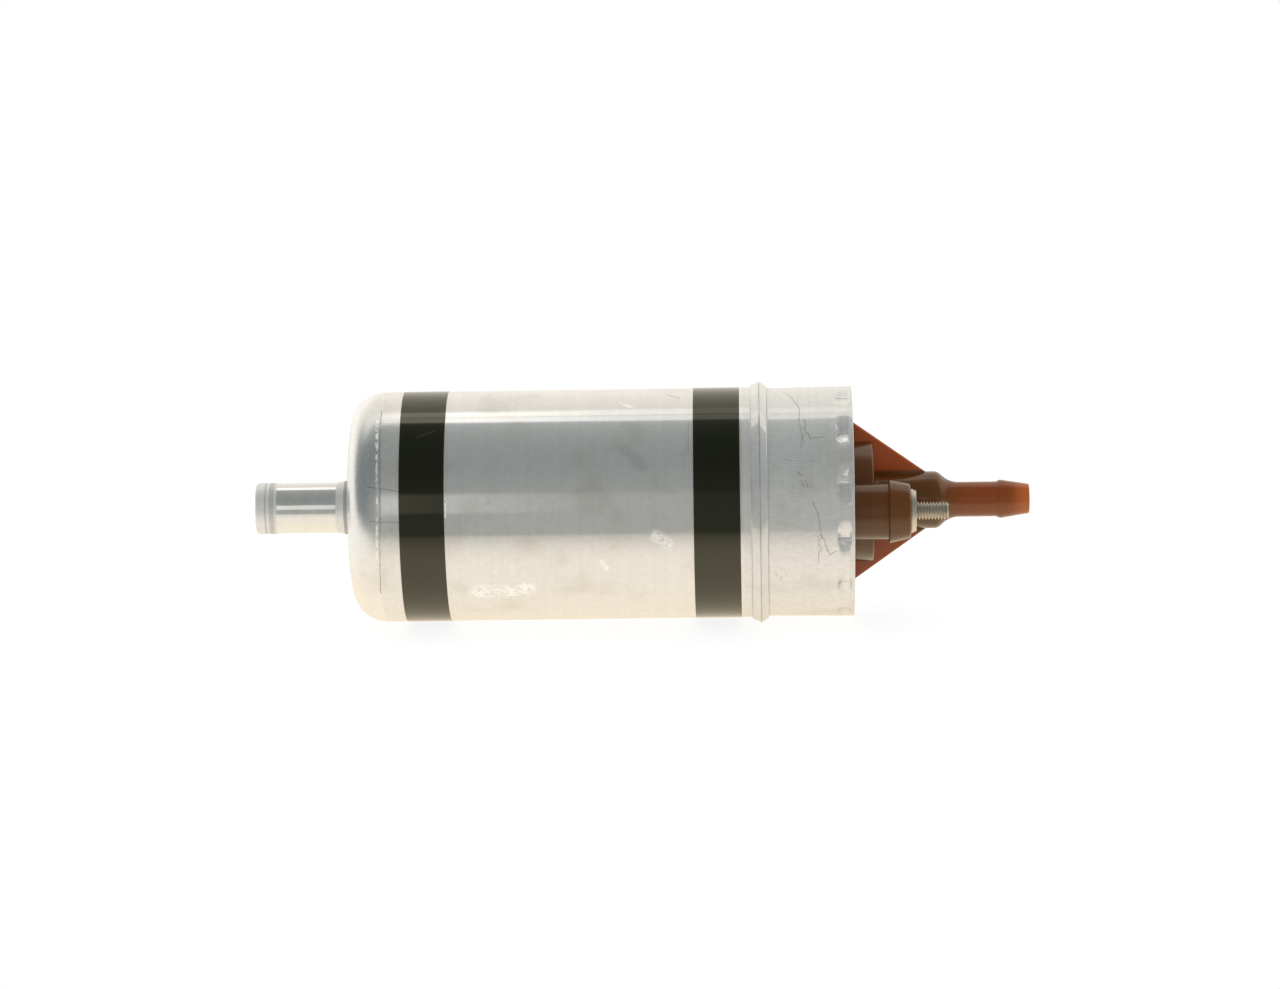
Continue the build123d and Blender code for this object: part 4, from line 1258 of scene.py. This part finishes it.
class PUMP_OT_finishes(bpy.types.Operator):
    """Make the finishes and give each piece of the frame its own"""

    bl_idname = "fuel_pump.finishes"
    bl_label = "Finishes"

    def execute(self, context):
        settings = context.scene.fuel_pump
        looks = settings.looks
        satin_aluminium(looks)
        band_film(looks)
        brown_plastic(looks)
        copper()
        nickel_steel(looks, settings.terminals)
        metal(Finish("steel"), linear(196, 198, 200), 0.22, 2200.0)
        metal(Finish("zinc_steel"), linear(198, 202, 206), 0.34, 1800.0)
        metal(Finish("sintered_iron"), linear(128, 126, 122), 0.48, 5200.0)
        metal(Finish("bronze"), linear(196, 150, 92), 0.36, 4200.0)
        dull("ferrite", linear(58, 58, 60), 0.62, 3600.0, 0.02 * MM)
        dull("carbon", linear(52, 50, 50), 0.5, 4200.0, 0.015 * MM)
        dull("rubber", linear(34, 34, 35), 0.66, 2200.0, 0.01 * MM)
        dull("pale_plastic", linear(222, 214, 196), 0.42, 1400.0, 0.01 * MM)
        slots = {part["node"]: part["material_slot"] for part in frame["record"]["subparts"]}
        for node, piece in frame["nodes"].items():
            piece.data.materials.clear()
            piece.data.materials.append(finish_of(slots[node]))
        return {"FINISHED"}


# Stage

# Light of the sky round the axis, as degrees and colour
SKY_STOPS = [
    (-180.0, (0.92, 0.86, 0.77)),
    (-100.0, (0.86, 0.78, 0.66)),
    (-37.0, (0.66, 0.61, 0.52)),
    (-25.0, (0.48, 0.46, 0.41)),
    (-18.0, (0.25, 0.25, 0.228)),
    (-6.0, (0.25, 0.253, 0.235)),
    (18.0, (0.225, 0.23, 0.215)),
    (23.0, (0.155, 0.168, 0.158)),
    (50.0, (0.105, 0.12, 0.114)),
    (75.0, (0.115, 0.133, 0.127)),
    (90.0, (0.15, 0.17, 0.16)),
    (101.0, (0.22, 0.24, 0.24)),
    (102.2, (0.82, 0.81, 0.79)),
    (108.4, (0.82, 0.80, 0.76)),
    (109.2, (0.55, 0.51, 0.46)),
    (110.0, (0.55, 0.51, 0.46)),
    (110.8, (0.93, 0.89, 0.83)),
    (118.8, (0.93, 0.89, 0.83)),
    (120.2, (0.70, 0.65, 0.58)),
    (132.0, (0.76, 0.71, 0.63)),
    (158.0, (0.90, 0.85, 0.77)),
    (180.0, (0.92, 0.86, 0.77)),
]
GLOSS_STRENGTH = 1.15
LAMP_STRENGTH = 0.65
LIT_FULL = 0.094
WHITE = (1.0, 1.0, 1.0)


def build_world(stage):
    """White for the camera, and a studio with one dim side for gloss and soft light."""
    world = bpy.data.worlds.new("studio")
    bpy.context.scene.world = world
    world.use_nodes = True
    world.cycles.sampling_method = "NONE"
    graph = Graph(world.node_tree)
    along, across, up = graph.split(graph.node("ShaderNodeTexCoord", output="Generated"))
    turn = graph.math("ARCTAN2", up, -across) * math.degrees(1)
    left = graph.most(-along, 0.0)
    lit_side = graph.least(graph.math("POWER", left / LIT_FULL, 4.0), 1.0)
    lit_side = lit_side * graph.near(turn, 12.5, 7.5, 4.0)
    lit_side = lit_side * (1.0 - graph.step(left, 0.12, 0.2))
    pale_side = graph.step(left, 0.05, 0.3) * graph.step(abs(turn), 140.0, 165.0) * 0.9
    lamps = graph.near(turn, 110.0, 7.0, 1.0) * graph.near(along, -0.085, 0.02, 0.045)
    card = graph.step(left, 0.5, 0.8) * graph.near(turn, 60.0, 62.0, 20.0) * 0.9
    place = turn / 360.0 + 0.5
    stops = [((degrees + 180.0) / 360.0, value) for degrees, value in SKY_STOPS]
    sky = graph.node("ShaderNodeValToRGB", {"stops": stops}, Fac=place)
    sky = graph.layers(
        sky, (lit_side, (1.0, 0.96, 0.92)), (pale_side, (1.06, 1.02, 0.93)), (card, (0.10, 0.13, 0.135))
    )
    soft = graph.mix(stage.fill, sky, WHITE)
    strength = GLOSS_STRENGTH + lamps * LAMP_STRENGTH
    gloss = graph.node("ShaderNodeVectorMath", {"operation": "SCALE"}, Vector=sky, Scale=strength)
    seen = graph.layers(
        soft, (graph.ray("Glossy"), gloss), (graph.ray("Camera"), WHITE), (graph.ray("Transmission"), WHITE)
    )
    background = graph.node("ShaderNodeBackground", Color=seen, Strength=1.0)
    graph.node("ShaderNodeOutputWorld", Surface=background)


def floor_finish(stage):
    """Pale floor that is white to the camera outside the pump's shadow."""
    finish = Finish("floor")
    plain = finish.node("ShaderNodeBsdfDiffuse", Color=(0.95, 0.94, 0.92))
    shaded = finish.node("ShaderNodeBsdfDiffuse", Color=(stage.floor_shade,) * 3)
    glow = finish.node("ShaderNodeEmission", Color=WHITE, Strength=1.04 - stage.floor_shade * 0.8)
    camera_view = finish.node("ShaderNodeAddShader", _0=shaded, _1=glow)
    front = finish.step(finish.y, -stage.floor_front - 10.0 * MM, -34.0 * MM)
    back = finish.step(finish.y, -30.0 * MM, 5.0 * MM)
    left = 1.0 - finish.step(finish.x, -110.0 * MM, -50.0 * MM)
    tone = finish.layers(
        (0.50, 0.48, 0.42),
        (front, (1.13, 1.01, 0.84)),
        (back, (1.22, 1.06, 0.80)),
        (left * 0.8, (1.12, 1.08, 1.02)),
    )
    gloss_view = finish.node("ShaderNodeEmission", Color=tone, Strength=1.0)
    shader = finish.blend(finish.ray("Camera"), plain, camera_view)
    finish.show(finish.blend(finish.ray("Glossy"), shader, gloss_view))
    return finish.material


def build_floor(stage):
    """A plain floor under the pump."""
    gap = 0.02 * MM
    side, front, back = stage.floor_side, -stage.floor_front, stage.floor_back
    places = [(-side, front), (side, front), (side, back), (-side, back)]
    bm = bmesh.new()
    bm.faces.new([bm.verts.new((x, y, FLOOR_Z - gap)) for x, y in places])
    floor = add_mesh(bm, "floor", floor_finish(stage))


def build_camera(stage):
    """Camera that looks across the pump, a little from above."""
    turn, roll, elevation = stage.turn, stage.roll, stage.elevation
    axis_seen = Vector((math.cos(turn) * math.cos(roll), math.sin(roll), math.sin(turn)))
    towards = Vector((0.0, 0.0, 1.0))
    side_seen = (towards - axis_seen * towards.dot(axis_seen)).normalized()
    upright = side_seen.cross(axis_seen)
    front_seen = math.cos(elevation) * side_seen - math.sin(elevation) * upright
    up_seen = math.sin(elevation) * side_seen + math.cos(elevation) * upright
    rotation = Matrix((axis_seen, -front_seen, up_seen))
    _, up, back = rotation.col
    target = Vector((stage.target_x, 0.0, 0.0)) + up * stage.target_rise
    camera = add_object("camera", bpy.data.cameras.new("camera"))
    camera.data.sensor_fit = "HORIZONTAL"
    camera.data.sensor_width = 36.0
    camera.data.lens = stage.focal_length
    camera.matrix_world = Matrix.Translation(target + back * stage.distance) @ rotation.to_4x4()
    bpy.context.scene.camera = camera


class PUMP_OT_stage(bpy.types.Operator):
    """Add the floor, the light and the camera"""

    bl_idname = "fuel_pump.stage"
    bl_label = "Studio"

    def execute(self, context):
        stage = context.scene.fuel_pump.stage
        context.scene.view_settings.view_transform = "Standard"
        build_world(stage)
        build_floor(stage)
        build_camera(stage)
        return {"FINISHED"}


class PUMP_PT_panel(bpy.types.Panel):
    """Sidebar panel that lists the pump's operators"""

    bl_idname = "PUMP_PT_panel"
    bl_label = "Fuel Pump"
    bl_space_type = "VIEW_3D"
    bl_region_type = "UI"
    bl_category = "Fuel Pump"

    def draw(self, context):
        for operator in OPERATORS:
            self.layout.operator(operator.bl_idname)


OPERATORS = (
    PUMP_OT_stage,
    PUMP_OT_finishes,
    PUMP_OT_can,
    PUMP_OT_bands,
    PUMP_OT_cover,
    PUMP_OT_studs,
    PUMP_OT_contact_plates,
)

CLASSES = (
    CanSizes,
    CoverSizes,
    TerminalSizes,
    FinishLooks,
    StageSettings,
    PumpSettings,
    *OPERATORS,
    PUMP_PT_panel,
)


def register():
    for item in CLASSES:
        bpy.utils.register_class(item)
    bpy.types.Scene.fuel_pump = PointerProperty(type=PumpSettings)


def unregister():
    del bpy.types.Scene.fuel_pump
    for item in reversed(CLASSES):
        bpy.utils.unregister_class(item)


def main():
    register()
    bpy.ops.fuel_pump.stage()
    bpy.ops.fuel_pump.finishes()
    bpy.ops.fuel_pump.can()
    bpy.ops.fuel_pump.bands()
    bpy.ops.fuel_pump.cover()
    bpy.ops.fuel_pump.studs()
    bpy.ops.fuel_pump.contact_plates()


if __name__ == "__main__":
    main()
